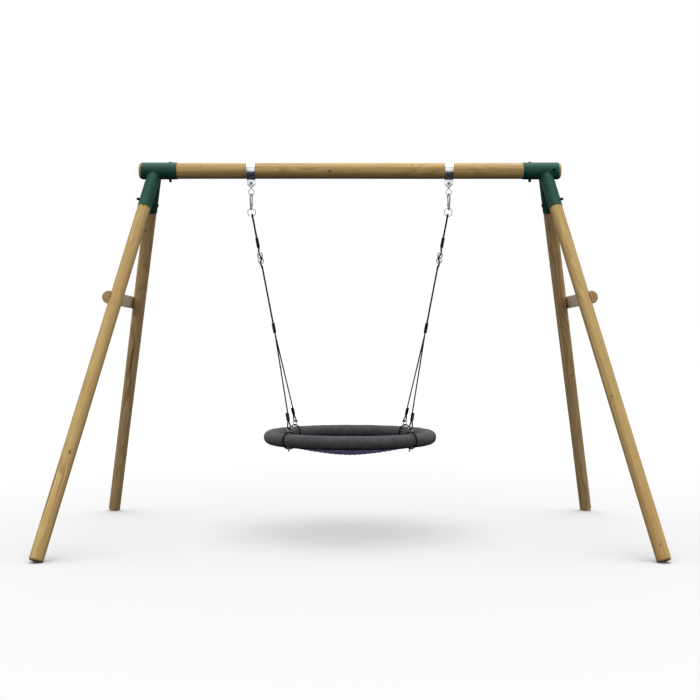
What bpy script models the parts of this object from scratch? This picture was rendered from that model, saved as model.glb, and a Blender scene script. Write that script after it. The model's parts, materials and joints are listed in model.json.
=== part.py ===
"""Garden swing: a round-timber A-frame that carries a round nest swing on two rope sets.

Metres, +Z up.  The origin is on the ground at the middle of the footprint, +X runs along the crossbeam
and +Y to the rear.  Every named object is one physical piece.
"""

import math

import bmesh
import bpy
from mathutils import Matrix, Vector

FIT = 0.0003  # gap between pieces that touch

# ---- timber frame -------------------------------------------------------------------
BEAM_HEIGHT = 2.094  # beam axis above the ground
BEAM_RADIUS = 0.0457
BEAM_HALF = 1.2177
LEG_RADIUS = 0.037
LEG_TOP = Vector((1.127, 0.0, BEAM_HEIGHT))  # where a leg's axis meets the beam's
LEG_FOOT = Vector((1.561, 0.898, 0.0))  # where it meets the ground
LEG_START = 0.112  # the timber starts this far down the axis, clear of its partner
FOOT_FLAT = 0.004  # depth of the bearing flat on the lower edge of each foot
RAIL_HEIGHT = 1.3385
RAIL_RADIUS = 0.0365
RAIL_HALF = 0.351
EDGE_ROUND = 0.010  # rounding of the sawn timber edges
SLEEVE_SIDES = 20  # facets round the beam and its sleeves
LEG_SIDES = 16

# ---- steel brackets and their fasteners ---------------------------------------------
SLEEVE_INNER_X = 0.9995
SLEEVE_OUTER_X = 1.2043
SLEEVE_WALL = 0.003
LEG_SLEEVE_WALL = 0.0022
LEG_SLEEVE_END = 0.248  # along the leg's axis from the beam's axis
UPRIGHT_BOLT_X = 1.040
LEVEL_BOLT_X = 1.172
LEG_BOLT_AT = 0.202  # along the leg's axis
BOLT_RADIUS = 0.004
CAP_RADIUS = 0.0085
CAP_HEIGHT = 0.017
HEAD_RADIUS = 0.010
HEAD_HEIGHT = 0.003
BEAM_DEPTH = 2 * (BEAM_RADIUS + SLEEVE_WALL + FIT)  # a bolt's grip through the beam and its sleeve
LEG_DEPTH = 2 * (LEG_RADIUS + LEG_SLEEVE_WALL + 2 * FIT)

# ---- hangers ------------------------------------------------------------------------
HANGER_X = 0.572
STRAP_WIDTH = 0.048
STRAP_THICK = 0.003
EAR_GAP = 0.0112  # between the two ears
EAR_BOTTOM = 1.9995
EAR_CLIP = 0.016  # size of the ears' clipped lower corners
HANGER_BOLT_Z = 2.022
LINK_WIRE = 0.00225  # radius
LINK_TOP_RADIUS = 0.013
LINK_RING_RADIUS = 0.01625
LINK_RING_Z = 1.9706
LINK_CROSSING = 0.0026  # how far the wires pass each other on either side of the link's plane

# ---- carabiners and top rings -------------------------------------------------------
SWING_Z = LINK_RING_Z - LINK_RING_RADIUS  # the swing's axis: the wire that the carabiner hangs on
HOOK_WIRE = 0.004
HOOK_PLAY = 0.0007  # play where one wire hangs in another
HOOK_BIG_RADIUS = 0.018
HOOK_SMALL_RADIUS = 0.009
HOOK_YAW = math.radians(15)
SWAY_Z = 1.8707  # the sway's axis: the carabiner's lower bend
RING_WIRE = 0.0025
RING_RADIUS = 0.023
GATE_RADIUS = 0.0034
PIN_RADIUS = 0.0012

# ---- ropes --------------------------------------------------------------------------
MAIN_ROPE = 0.005  # radius
LOWER_ROPE = 0.004
NEST_HALF_X = 0.3335  # the nest's hanging points: |X| and |Y|
NEST_HALF_Y = 0.3168
HANG_Z = 0.630  # the shackles' top bars
TOP_FERRULE = (0.166, 0.225)  # stretches along the main rope, from the sway's axis
ADJUSTER_AT = 0.286
ADJUSTER_WIRE = 0.003
ADJUSTER_RADIUS = 0.0165
ADJUSTER_PITCH = 0.031  # between the adjuster's two rings
ADJUSTER_TURN = math.radians(37)  # the adjuster's turn about the rope, out of the ropes' plane
SPLIT_FERRULE = (0.669, 0.728)
ROPES_MEET = 0.690
LOWER_FERRULE = (0.046, 0.090)  # from the shackle's bar up the lower rope
TOP_FERRULE_SIZE = (0.0135, 0.0093)  # half sizes of each oval ferrule, then of its bore
TOP_FERRULE_BORE = (0.0113, 0.0066)
SPLIT_FERRULE_SIZE = (0.0120, 0.0093)
SPLIT_FERRULE_BORE = (0.0092, 0.0060)
LOWER_FERRULE_SIZE = (0.0112, 0.0078)
LOWER_FERRULE_BORE = (0.0092, 0.0054)
FERRULE_SIDES = 16
FERRULE_CHAMFER = 0.001
FERRULE_MOUTH = 0.9  # size of a ferrule's end, as a share of its middle
TOP_EYE_PLAY = 0.0015
TOP_NECK = 0.060  # length over which the top eye closes
TAIL_SHORT = 0.008  # a rope's tail ends this far inside its ferrule
WEAVE_PLAY = 0.0008  # between the rope and the adjuster's rings
WEAVE_END = 0.040  # length over which the rope comes back to its line
ROPE_SPREAD = 0.012  # the lower ropes part this far below the split ferrule
EYE_PLAY = 0.0035  # the eyes hang loose on the shackles, so the nest can tilt
EYE_LIFT = 0.0012  # the eye's centre above the shackle's bar

# ---- nest ---------------------------------------------------------------------------
NEST_Z = 0.556
NEST_RADIUS = 0.460
COVER_RADIUS = 0.038
COVER_THICK = 0.0015
TUBE_RADIUS = 0.0165
TUBE_WALL = 0.002
LASHING_ROPE = 0.004
SHACKLE_WIRE = 0.0025
SHACKLE_BEND = 0.0075  # radius of the lower bend
SHACKLE_CORNER = 0.0045
SHACKLE_SPREAD = 0.0135  # the upper corners' centres, to each side
NET_DEPTH = 0.104  # from the ring's centre to the underside of the net
NET_THICK = 0.008
NET_RIM = 0.416
NET_RIM_HEIGHT = -0.036  # the rim's underside, from the ring's centre
NET_SAG_POWER = 1.5
NEST_STEPS = 30  # facets round the nest
COVER_SIDES = 8

COLOURS = {
    "wood": ((0.56, 0.36, 0.17), 0.65, 0.0),
    "green_steel": ((0.03, 0.10, 0.07), 0.45, 0.0),
    "zinc": ((0.62, 0.63, 0.65), 0.35, 1.0),
    "black_plastic": ((0.015, 0.015, 0.017), 0.4, 0.0),
    "black_rope": ((0.02, 0.02, 0.022), 0.9, 0.0),
    "grey_fabric": ((0.09, 0.09, 0.10), 0.9, 0.0),
    "foam": ((0.25, 0.25, 0.25), 0.95, 0.0),
    "violet_rope": ((0.06, 0.055, 0.12), 0.9, 0.0),
}

X = Vector((1, 0, 0))
Y = Vector((0, 1, 0))
Z = Vector((0, 0, 1))
SIDES = (-1, 1)
FRONTS = (-1, 1)
SIDE_NAME = {-1: "left", 1: "right"}
FRONT_NAME = {-1: "front", 1: "rear"}
CORNERS = [(side, front) for side in SIDES for front in FRONTS]


# ---- making objects -----------------------------------------------------------------
def clear_scene():
    for obj in list(bpy.data.objects):
        bpy.data.objects.remove(obj, do_unlink=True)


def new_collection(name):
    collection = bpy.data.collections.new(name)
    bpy.context.scene.collection.children.link(collection)
    return collection


def material(name, finish):
    """A Principled material of its own for one object."""
    colour, roughness, metallic = COLOURS[finish]
    made = bpy.data.materials.new(name)
    made.use_nodes = True
    shader = made.node_tree.nodes["Principled BSDF"]
    shader.inputs["Base Color"].default_value = (*colour, 1)
    shader.inputs["Roughness"].default_value = roughness
    shader.inputs["Metallic"].default_value = metallic
    return made


def add_part(name, data, finish, smooth=40):
    """Links a mesh or curve as a named part with its own material."""
    obj = bpy.data.objects.new(name, data)
    PARTS.objects.link(obj)
    data.materials.append(material(name, finish))
    if smooth and obj.type == "MESH":
        data.shade_smooth()
        data.set_sharp_from_angle(angle=math.radians(smooth))
    return obj


def mesh_of(bm, name):
    bmesh.ops.recalc_face_normals(bm, faces=bm.faces)
    mesh = bpy.data.meshes.new(name)
    bm.to_mesh(mesh)
    bm.free()
    return mesh


def pose_along(start, direction):
    """A matrix that puts local +Z along direction, with the origin at start."""
    turn = Z.rotation_difference(Vector(direction)).to_matrix().to_4x4()
    return Matrix.Translation(start) @ turn


def add_cylinder(bm, start, end, radius, sides):
    span = Vector(end) - Vector(start)
    middle = Matrix.Translation(Z * span.length / 2)
    bmesh.ops.create_cone(
        bm, cap_ends=True, segments=sides, radius1=radius, radius2=radius,
        depth=span.length, matrix=pose_along(start, span) @ middle,
    )


def cylinder_mesh(name, start, end, radius, sides):
    bm = bmesh.new()
    add_cylinder(bm, start, end, radius, sides)
    return mesh_of(bm, name)


def box_mesh(name, size, pose):
    bm = bmesh.new()
    bmesh.ops.create_cube(bm, size=1, matrix=pose @ Matrix.Diagonal((*size, 1)))
    return mesh_of(bm, name)


def turned_mesh(name, profile, steps):
    """Turns a profile of (radius, height) points: a closed outline, or one from axis to axis."""
    bm = bmesh.new()
    verts = [bm.verts.new((radius, 0, height)) for radius, height in profile]
    pairs = list(zip(verts, verts[1:]))
    if profile[0][0] > 0:
        pairs.append((verts[-1], verts[0]))
    edges = [bm.edges.new(pair) for pair in pairs]
    bmesh.ops.spin(bm, geom=verts + edges, cent=(0, 0, 0), axis=(0, 0, 1), angle=math.tau, steps=steps)
    bmesh.ops.remove_doubles(bm, verts=bm.verts, dist=1e-6)
    return mesh_of(bm, name)


def turned_part(name, finish, profile, start, direction, steps=10):
    """A part turned about the line through start."""
    mesh = turned_mesh(name, profile, steps)
    mesh.transform(pose_along(start, direction))
    return add_part(name, mesh, finish)


def wire(name, points, radius, finish, cyclic=False, resolution=2):
    """A round wire or rope through the points."""
    curve = bpy.data.curves.new(name, "CURVE")
    curve.dimensions = "3D"
    curve.bevel_depth = radius
    curve.bevel_resolution = resolution
    curve.render_resolution_u = 0
    curve.use_fill_caps = True
    spline = curve.splines.new("POLY")
    spline.points.add(len(points) - 1)
    for place, point in zip(spline.points, points):
        place.co = (*point, 1)
    spline.use_cyclic_u = cyclic
    return add_part(name, curve, finish)


def as_mesh(obj, finish):
    """Replaces a curve part by a welded mesh of the same name."""
    bpy.context.view_layer.update()
    evaluated = obj.evaluated_get(bpy.context.evaluated_depsgraph_get())
    mesh = bpy.data.meshes.new_from_object(evaluated)
    mesh.transform(obj.matrix_world)
    name = obj.name
    bpy.data.objects.remove(obj)
    bm = bmesh.new()
    bm.from_mesh(mesh)
    bmesh.ops.remove_doubles(bm, verts=bm.verts, dist=1e-6)
    mesh = mesh_of(bm, name)
    mesh.materials.clear()
    return add_part(name, mesh, finish)


def use_cutter(obj, mesh, operation="DIFFERENCE"):
    """A Boolean with a hidden cutter."""
    cutter = bpy.data.objects.new(mesh.name, mesh)
    CUTTERS.objects.link(cutter)
    cutter.hide_render = True
    cutter.display_type = "WIRE"
    boolean = obj.modifiers.new(mesh.name, "BOOLEAN")
    boolean.operation = operation
    boolean.object = cutter


def drill(obj, start, end, radius, sides=12):
    use_cutter(obj, cylinder_mesh("drill", start, end, radius, sides))


def round_edges(obj, width, segments=1, angle=50):
    bevel = obj.modifiers.new("round_edges", "BEVEL")
    bevel.width = width
    bevel.segments = segments
    bevel.limit_method = "ANGLE"
    bevel.angle_limit = math.radians(angle)


# ---- routes -------------------------------------------------------------------------
def belt(circles, step):
    """The closed outline of a belt round (x, y, radius) circles, listed anticlockwise."""
    points = []
    count = len(circles)
    headings = []
    for i in range(count):
        ax, ay, ar = circles[i]
        bx, by, br = circles[(i + 1) % count]
        along = math.atan2(by - ay, bx - ax)
        lean = math.asin((ar - br) / math.hypot(bx - ax, by - ay))
        headings.append(along - math.pi / 2 + lean)
    for i in range(count):
        x, y, radius = circles[i]
        begin = headings[i - 1]
        turn = (headings[i] - begin) % math.tau
        steps = max(2, round(turn / step))
        for k in range(steps + 1):
            angle = begin + turn * k / steps
            points.append((x + radius * math.cos(angle), y + radius * math.sin(angle)))
    return points


def eased(keys, at):
    """A value that runs smoothly from one (place, value) key to the next, level at each."""
    for (a, low), (b, high) in zip(keys, keys[1:]):
        if at <= b:
            share = max(0.0, (at - a) / (b - a))
            return low + (high - low) * (1 - math.cos(math.pi * share)) / 2
    return keys[-1][1]


def eye(centre, along, across, radius, neck, offset, tail, steps=6):
    """The open eye of a rope round a bar at centre: up one strand from its tail, round, and to the neck.

    along points from the bar to the ferrule, across from the tail's strand to the standing one.
    """
    keys = [(0.0, radius), (neck, offset)]
    stations = [tail, neck, neck * 0.75, neck * 0.5, neck * 0.25]
    points = [centre + along * s - across * eased(keys, s) for s in stations]
    for k in range(steps + 1):
        angle = math.pi * k / steps
        points.append(centre - across * radius * math.cos(angle) - along * radius * math.sin(angle))
    points += [centre + along * s + across * eased(keys, s) for s in reversed(stations[1:])]
    return points


def rounded_corner(before, corner, after, trim, steps=4):
    """Points of a smooth bend that replaces a corner, from trim before it to trim after it."""
    a = corner + (before - corner).normalized() * trim
    b = corner + (after - corner).normalized() * trim
    shares = [k / steps for k in range(steps + 1)]
    return [a * (1 - s) ** 2 + corner * 2 * s * (1 - s) + b * s**2 for s in shares]


# ---- timber frame -------------------------------------------------------------------
def leg_line(side, front):
    """The top point and the downward direction of a leg's axis."""
    top = Vector((side * LEG_TOP.x, 0, LEG_TOP.z))
    foot = Vector((side * LEG_FOOT.x, front * LEG_FOOT.y, 0))
    return top, (foot - top).normalized()


def outward(side):
    """The level-to-outside normal shared by both legs of one side."""
    lean = math.atan2(LEG_FOOT.x - LEG_TOP.x, BEAM_HEIGHT)
    return Vector((side * math.cos(lean), 0, math.sin(lean)))


def upright_bolts():
    """(start, direction) of the seat under each upright bolt's cap, per side."""
    below = BEAM_HEIGHT - BEAM_RADIUS - SLEEVE_WALL - FIT
    return {side: (Vector((side * UPRIGHT_BOLT_X, 0, below)), -Z) for side in SIDES}


def level_bolts():
    """The same for the level bolts; the brackets are one part, turned round for the other side."""
    reach = BEAM_RADIUS + SLEEVE_WALL + FIT
    return {
        side: (Vector((side * LEVEL_BOLT_X, -side * reach, BEAM_HEIGHT)), -Y * side) for side in SIDES
    }


def leg_bolts():
    """The same for the bolts through the leg sleeves, per (side, front)."""
    seats = {}
    for side, front in CORNERS:
        top, down = leg_line(side, front)
        out = outward(side)
        seats[side, front] = (top + down * LEG_BOLT_AT + out * LEG_DEPTH / 2, out)
    return seats


def bolt_drill(obj, seat, depth):
    """Cuts a through bolt's hole, which starts at the cap's seat and runs against its direction."""
    start, out = seat
    drill(obj, start + out * 0.02, start - out * (depth + 0.02), BOLT_RADIUS + FIT)


def crossbeam():
    left, right = (Vector((end * BEAM_HALF, 0, BEAM_HEIGHT)) for end in SIDES)
    mesh = cylinder_mesh("crossbeam", left, right, BEAM_RADIUS, SLEEVE_SIDES)
    beam = add_part("crossbeam", mesh, "wood")
    round_edges(beam, EDGE_ROUND)
    for side in SIDES:
        bolt_drill(beam, upright_bolts()[side], BEAM_DEPTH)
        bolt_drill(beam, level_bolts()[side], BEAM_DEPTH)


def legs():
    for side, front in CORNERS:
        name = f"leg_{FRONT_NAME[front]}_{SIDE_NAME[side]}"
        top, down = leg_line(side, front)
        sink = (LEG_RADIUS - EDGE_ROUND) * math.hypot(down.x, down.y) - FOOT_FLAT
        reach = (BEAM_HEIGHT - sink) / -down.z
        foot = top + down * reach
        mesh = cylinder_mesh(name, top + down * LEG_START, foot, LEG_RADIUS, LEG_SIDES)
        leg = add_part(name, mesh, "wood")
        round_edges(leg, EDGE_ROUND)
        below = Matrix.Translation((foot.x, foot.y, -0.05))
        use_cutter(leg, box_mesh("ground", (0.2, 0.2, 0.1), below))
        bolt_drill(leg, leg_bolts()[side, front], LEG_DEPTH)


def rail_centre(side):
    """The middle of a side rail's flat face."""
    share = (BEAM_HEIGHT - RAIL_HEIGHT) / BEAM_HEIGHT
    across = LEG_TOP.x + (LEG_FOOT.x - LEG_TOP.x) * share
    return Vector((side * across, 0, RAIL_HEIGHT)) + outward(side) * (LEG_RADIUS + FIT)


def side_rails():
    for side in SIDES:
        name = f"side_rail_{SIDE_NAME[side]}"
        centre = rail_centre(side)
        bm = bmesh.new()
        add_cylinder(bm, centre - Y * RAIL_HALF, centre + Y * RAIL_HALF, RAIL_RADIUS, 20)
        cut = bmesh.ops.bisect_plane(
            bm, geom=bm.verts[:] + bm.edges[:] + bm.faces[:], plane_co=centre, plane_no=outward(side),
            clear_inner=True,
        )
        edges = [e for e in cut["geom_cut"] if isinstance(e, bmesh.types.BMEdge)]
        bmesh.ops.contextual_create(bm, geom=edges)
        add_part(name, mesh_of(bm, name), "wood")


def corner_brackets():
    """A beam sleeve with two leg sleeves welded to it; the left one is the same part turned round."""
    side = 1
    outer = BEAM_RADIUS + SLEEVE_WALL
    first, last = (Vector((side * x, 0, BEAM_HEIGHT)) for x in (SLEEVE_INNER_X, SLEEVE_OUTER_X))
    leg_outer = LEG_RADIUS + LEG_SLEEVE_WALL
    top, down = leg_line(side, 1)
    name = "corner_bracket_right"
    rear = cylinder_mesh(name, top, top + down * LEG_SLEEVE_END, leg_outer, LEG_SIDES + 2)
    weldment = add_part(name, rear, "green_steel")
    top, down = leg_line(side, -1)
    front = cylinder_mesh("leg_sleeve", top, top + down * LEG_SLEEVE_END, leg_outer, LEG_SIDES + 2)
    use_cutter(weldment, front, "UNION")
    for front in FRONTS:
        top, down = leg_line(side, front)
        drill(weldment, top - down * 0.03, top + down * (LEG_SLEEVE_END + 0.02), LEG_RADIUS + FIT, LEG_SIDES)
    use_cutter(weldment, cylinder_mesh("beam_sleeve", first, last, outer, SLEEVE_SIDES), "UNION")
    along = X * side * 0.02
    drill(weldment, first - along, last + along, BEAM_RADIUS + FIT, SLEEVE_SIDES)
    bolt_drill(weldment, upright_bolts()[side], BEAM_DEPTH)
    bolt_drill(weldment, level_bolts()[side], BEAM_DEPTH)
    for front in FRONTS:
        bolt_drill(weldment, leg_bolts()[side, front], LEG_DEPTH)
    bpy.context.view_layer.update()
    mesh = bpy.data.meshes.new_from_object(weldment.evaluated_get(bpy.context.evaluated_depsgraph_get()))
    weldment.modifiers.clear()
    weldment.data = mesh
    partner = add_part("corner_bracket_left", mesh.copy(), "green_steel")
    partner.data.materials.pop(index=0)
    partner.rotation_euler.z = math.pi


def capped_bolt(name, seat, depth):
    """A round-headed bolt through the frame, with the domed cap nut on its end."""
    shank = depth + 2 * FIT
    dome = CAP_HEIGHT - CAP_RADIUS
    profile = [(0.0, CAP_HEIGHT)]
    for degrees in (60, 30, 0):
        angle = math.radians(degrees)
        profile.append((CAP_RADIUS * math.cos(angle), dome + CAP_RADIUS * math.sin(angle)))
    profile += [
        (CAP_RADIUS, FIT), (BOLT_RADIUS, FIT), (BOLT_RADIUS, -shank), (HEAD_RADIUS, -shank),
        (HEAD_RADIUS * 0.8, -shank - HEAD_HEIGHT * 0.7), (0.0, -shank - HEAD_HEIGHT),
    ]
    turned_part(name, "black_plastic", profile, *seat)


def frame_bolts():
    for side in SIDES:
        label = SIDE_NAME[side]
        capped_bolt(f"beam_bolt_upright_{label}", upright_bolts()[side], BEAM_DEPTH)
        capped_bolt(f"beam_bolt_level_{label}", level_bolts()[side], BEAM_DEPTH)
    for side, front in CORNERS:
        capped_bolt(f"leg_bolt_{FRONT_NAME[front]}_{SIDE_NAME[side]}", leg_bolts()[side, front], LEG_DEPTH)


# ---- hangers ------------------------------------------------------------------------
def strap_outline():
    """The strap's section in (y, z): round the beam and down into two ears."""
    steps = 18
    inner = (BEAM_RADIUS + FIT) / math.cos(math.pi / steps)  # the flats clear the beam, too
    outer = inner + STRAP_THICK
    half_gap = EAR_GAP / 2
    inside, outside = [], []
    for radius, half, arc in ((inner, half_gap, inside), (outer, half_gap + STRAP_THICK, outside)):
        begin = math.asin(half / radius)
        for k in range(steps + 1):
            angle = begin + (math.tau - 2 * begin) * k / steps
            arc.append((radius * math.sin(angle), BEAM_HEIGHT - radius * math.cos(angle)))
    first = [(half_gap, EAR_BOTTOM)] + inside + [(-half_gap, EAR_BOTTOM)]
    second = [(half_gap + STRAP_THICK, EAR_BOTTOM)] + outside + [(-half_gap - STRAP_THICK, EAR_BOTTOM)]
    return first + second[::-1]


def hanger_strap(side):
    name = f"hanger_strap_{SIDE_NAME[side]}"
    centre = side * HANGER_X
    bm = bmesh.new()
    face = bm.faces.new([bm.verts.new((centre - STRAP_WIDTH / 2, y, z)) for y, z in strap_outline()])
    made = bmesh.ops.extrude_face_region(bm, geom=[face])
    moved = [v for v in made["geom"] if isinstance(v, bmesh.types.BMVert)]
    bmesh.ops.translate(bm, vec=X * STRAP_WIDTH, verts=moved)
    strap = add_part(name, mesh_of(bm, name), "zinc")
    drill(strap, (centre, -0.03, HANGER_BOLT_Z), (centre, 0.03, HANGER_BOLT_Z), BOLT_RADIUS + FIT)
    for edge in (-1, 1):
        corner = Matrix.Translation((centre + edge * STRAP_WIDTH / 2, 0, EAR_BOTTOM))
        turned = corner @ Matrix.Rotation(math.radians(45), 4, "Y")
        size = EAR_CLIP * math.sqrt(2)
        use_cutter(strap, box_mesh("ear_corner", (size, 2 * STRAP_WIDTH, size), turned))


def hanger_bolt(side):
    """The bolt through both ears, with its nut."""
    reach = EAR_GAP / 2 + STRAP_THICK + FIT
    nut, nut_radius, spare = 0.0065, 0.0072, 0.002
    profile = [
        (0.0, -reach - 0.006), (HEAD_RADIUS * 0.6, -reach - 0.005), (HEAD_RADIUS * 0.8, -reach),
        (BOLT_RADIUS, -reach), (BOLT_RADIUS, reach), (nut_radius, reach), (nut_radius, reach + nut),
        (BOLT_RADIUS, reach + nut), (BOLT_RADIUS, reach + nut + spare), (0.0, reach + nut + spare),
    ]
    centre = Vector((side * HANGER_X, 0, HANGER_BOLT_Z))
    turned_part(f"hanger_bolt_{SIDE_NAME[side]}", "zinc", profile, centre, Y, steps=12)


def hanger_link(side):
    """A wire bent to an 8: a small loop on the bolt and a ring below, crossing between them."""
    top_z = HANGER_BOLT_Z + BOLT_RADIUS + HOOK_PLAY + LINK_WIRE - LINK_TOP_RADIUS
    lean = math.acos((LINK_TOP_RADIUS + LINK_RING_RADIUS) / (top_z - LINK_RING_Z))
    crossing_z = top_z - LINK_TOP_RADIUS / math.cos(lean)
    steps = 12
    path = []
    for centre, radius, way in ((top_z, LINK_TOP_RADIUS, 1), (LINK_RING_Z, LINK_RING_RADIUS, -1)):
        for k in range(steps + 1):
            angle = lean + (math.tau - 2 * lean) * k / steps
            apart = {0: -way, steps: way}.get(k, 0) * LINK_CROSSING / 3
            x = side * HANGER_X + radius * math.sin(angle)
            path.append(Vector((x, apart, centre - way * radius * math.cos(angle))))
        # the two wires pass each other in front of and behind the link's plane
        path.append(Vector((side * HANGER_X, way * LINK_CROSSING, crossing_z)))
    wire(f"hanger_link_{SIDE_NAME[side]}", path, LINK_WIRE, "zinc", cyclic=True)


# ---- carabiners ---------------------------------------------------------------------
def carabiner(side):
    """A pear-shaped hook: body, sprung gate and the gate's pin."""
    label = SIDE_NAME[side]
    turn = Matrix.Rotation(side * HOOK_YAW, 4, "Z")
    place = Matrix.Translation((side * HANGER_X, 0, 0)) @ turn
    big_z = SWING_Z + LINK_WIRE + HOOK_WIRE + HOOK_PLAY - HOOK_BIG_RADIUS
    small_z = SWAY_Z + HOOK_SMALL_RADIUS
    outline = belt([(0, big_z, HOOK_BIG_RADIUS), (0, small_z, HOOK_SMALL_RADIUS)], math.radians(22))
    gate_foot, gate_tip = gate_ends()
    # the belt starts on the far side of the big bend and closes with the gate's straight side
    path = [Vector((0, y, z)) for y, z in outline]
    path = [gate_tip + (path[0] - gate_tip) * 0.1] + path + [path[-1].lerp(gate_foot, 0.8)]
    body = wire(f"carabiner_{label}", [place @ p for p in path], HOOK_WIRE, "zinc")
    body = as_mesh(body, "zinc")
    cheek = 0.0022
    hinge = place @ Matrix.Translation(gate_foot)
    for flank in (-1, 1):
        slab = Matrix.Translation((flank * (cheek + 0.005), 0, 0))
        use_cutter(body, box_mesh("tongue", (0.01, 0.016, 0.016), hinge @ slab))
    axis = place.to_3x3() @ X
    pin_centre = place @ gate_foot
    drill(body, pin_centre - axis * 0.02, pin_centre + axis * 0.02, PIN_RADIUS + FIT / 2, 10)
    gate = wire(
        f"carabiner_gate_{label}",
        [place @ gate_foot.lerp(gate_tip, share) for share in (0.2, 0.97)],
        GATE_RADIUS, "zinc",
    )
    gate = as_mesh(gate, "zinc")
    upward = (gate_tip - gate_foot).normalized()
    tilt = Z.rotation_difference(upward).to_matrix().to_4x4()
    for flank in (-1, 1):
        at = gate_foot + upward * 0.006 + X * flank * 0.0037
        lug = place @ Matrix.Translation(at) @ tilt
        use_cutter(gate, box_mesh("gate_lug", (0.0024, 0.006, 0.018), lug), "UNION")
    drill(gate, pin_centre - axis * 0.02, pin_centre + axis * 0.02, PIN_RADIUS + FIT / 2, 10)
    pin = cylinder_mesh("pin", pin_centre - axis * 0.0055, pin_centre + axis * 0.0055, PIN_RADIUS, 10)
    add_part(f"gate_pin_{label}", pin, "zinc")


def gate_ends():
    """The gate's pivot and tip on the straight rear side, in the carabiner's own plane."""
    big_z = SWING_Z + LINK_WIRE + HOOK_WIRE + HOOK_PLAY - HOOK_BIG_RADIUS
    small_z = SWAY_Z + HOOK_SMALL_RADIUS
    lean = math.asin((HOOK_BIG_RADIUS - HOOK_SMALL_RADIUS) / (big_z - small_z))
    low = Vector((0, HOOK_SMALL_RADIUS * math.cos(lean), small_z - HOOK_SMALL_RADIUS * math.sin(lean)))
    high = Vector((0, HOOK_BIG_RADIUS * math.cos(lean), big_z - HOOK_BIG_RADIUS * math.sin(lean)))
    return low.lerp(high, 0.22), low.lerp(high, 0.93)


# ---- rope sets ----------------------------------------------------------------------
def rope_line(side):
    """The sway axis point and the straight direction of one rope set, downward in the XZ plane."""
    top = Vector((side * HANGER_X, 0, SWAY_Z))
    bottom = Vector((side * NEST_HALF_X, 0, HANG_Z))
    return top, (bottom - top).normalized()


def corner_way(side, front):
    """The level direction from the nest's axis to one of its hanging points."""
    return Vector((side * NEST_HALF_X, front * NEST_HALF_Y, 0)).normalized()


def weave_way(side, down):
    """The axis of the adjuster's rings, along which the rope weaves through them."""
    return Matrix.Rotation(side * ADJUSTER_TURN, 3, down) @ Y


def ferrule(name, start, end, across, size, bore):
    """An oval sleeve with chamfered ends; size and bore are half sizes along across and the other way."""
    start, end = Vector(start), Vector(end)
    along = (end - start).normalized()
    second = along.cross(across).normalized()
    across = second.cross(along).normalized()
    length = (end - start).length
    mouth = [half * FERRULE_MOUTH for half in size]
    outside = [(mouth, 0.0), (size, FERRULE_CHAMFER), (size, length - FERRULE_CHAMFER), (mouth, length)]
    bm = bmesh.new()
    rings = []
    for (deep, wide), at in outside + [(bore, length), (bore, 0.0)]:
        ring = []
        for k in range(FERRULE_SIDES):
            angle = math.tau * k / FERRULE_SIDES
            spot = across * deep * math.cos(angle) + second * wide * math.sin(angle)
            ring.append(bm.verts.new(start + along * at + spot))
        rings.append(ring)
    for ring, after in zip(rings, rings[1:] + rings[:1]):
        for k in range(FERRULE_SIDES):
            n = (k + 1) % FERRULE_SIDES
            bm.faces.new((ring[k], ring[n], after[n], after[k]))
    add_part(name, mesh_of(bm, name), "black_rope")


def top_ring(side):
    top, down = rope_line(side)
    centre = top + down * (RING_RADIUS - RING_WIRE - HOOK_WIRE - HOOK_PLAY)
    steps = 20
    ring = []
    for k in range(steps):
        angle = math.tau * k / steps
        ring.append(centre + (X * math.sin(angle) + Z * math.cos(angle)) * RING_RADIUS)
    wire(f"top_ring_{SIDE_NAME[side]}", ring, RING_WIRE, "zinc", cyclic=True)
    return centre + down * RING_RADIUS


def main_rope(side, ring_bottom):
    """Eye on the top ring, through the top ferrule, woven through the adjuster, to the split ferrule."""
    top, down = rope_line(side)
    strand = MAIN_ROPE + FIT / 2
    radius = RING_WIRE + MAIN_ROPE + TOP_EYE_PLAY
    bar_at = (ring_bottom - top).length - 0.001
    centre = top + down * bar_at
    tail = TOP_FERRULE[1] - bar_at - TAIL_SHORT
    points = eye(centre, down, Y, radius, TOP_NECK, strand, tail)
    weave = MAIN_ROPE + ADJUSTER_WIRE + WEAVE_PLAY
    last = TOP_FERRULE[1]
    out = weave_way(side, down)
    first = ADJUSTER_AT - ADJUSTER_PITCH
    end = ADJUSTER_AT + ADJUSTER_PITCH + WEAVE_END
    strands = [(last, strand), (first, 0.0)]
    weaves = [(last, 0.0), (first, weave), (ADJUSTER_AT, -weave)]
    weaves += [(ADJUSTER_AT + ADJUSTER_PITCH, weave), (end, 0.0)]
    stops = 16
    for k in range(stops + 1):
        at = last + (end - last) * k / stops
        points.append(top + down * at + Y * eased(strands, at) + out * eased(weaves, at))
    points.append(top + down * (ROPES_MEET - FIT))
    wire(f"main_rope_{SIDE_NAME[side]}", points, MAIN_ROPE, "black_rope")


def rope_adjuster(side):
    """Two steel rings in one casting, which the rope weaves through."""
    top, down = rope_line(side)
    centre = top + down * ADJUSTER_AT
    name = f"rope_adjuster_{SIDE_NAME[side]}"
    bodies = []
    for way in (-1, 1):
        section = []
        for k in range(6):
            angle = math.tau * k / 6
            out, up = math.cos(angle), math.sin(angle)
            section.append((ADJUSTER_RADIUS + ADJUSTER_WIRE * out, ADJUSTER_WIRE * up))
        ring = turned_mesh(name, section, 16)
        ring.transform(pose_along(centre + down * way * ADJUSTER_PITCH / 2, weave_way(side, down)))
        bodies.append(ring)
    adjuster = add_part(name, bodies[0], "zinc")
    use_cutter(adjuster, bodies[1], "UNION")


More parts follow.
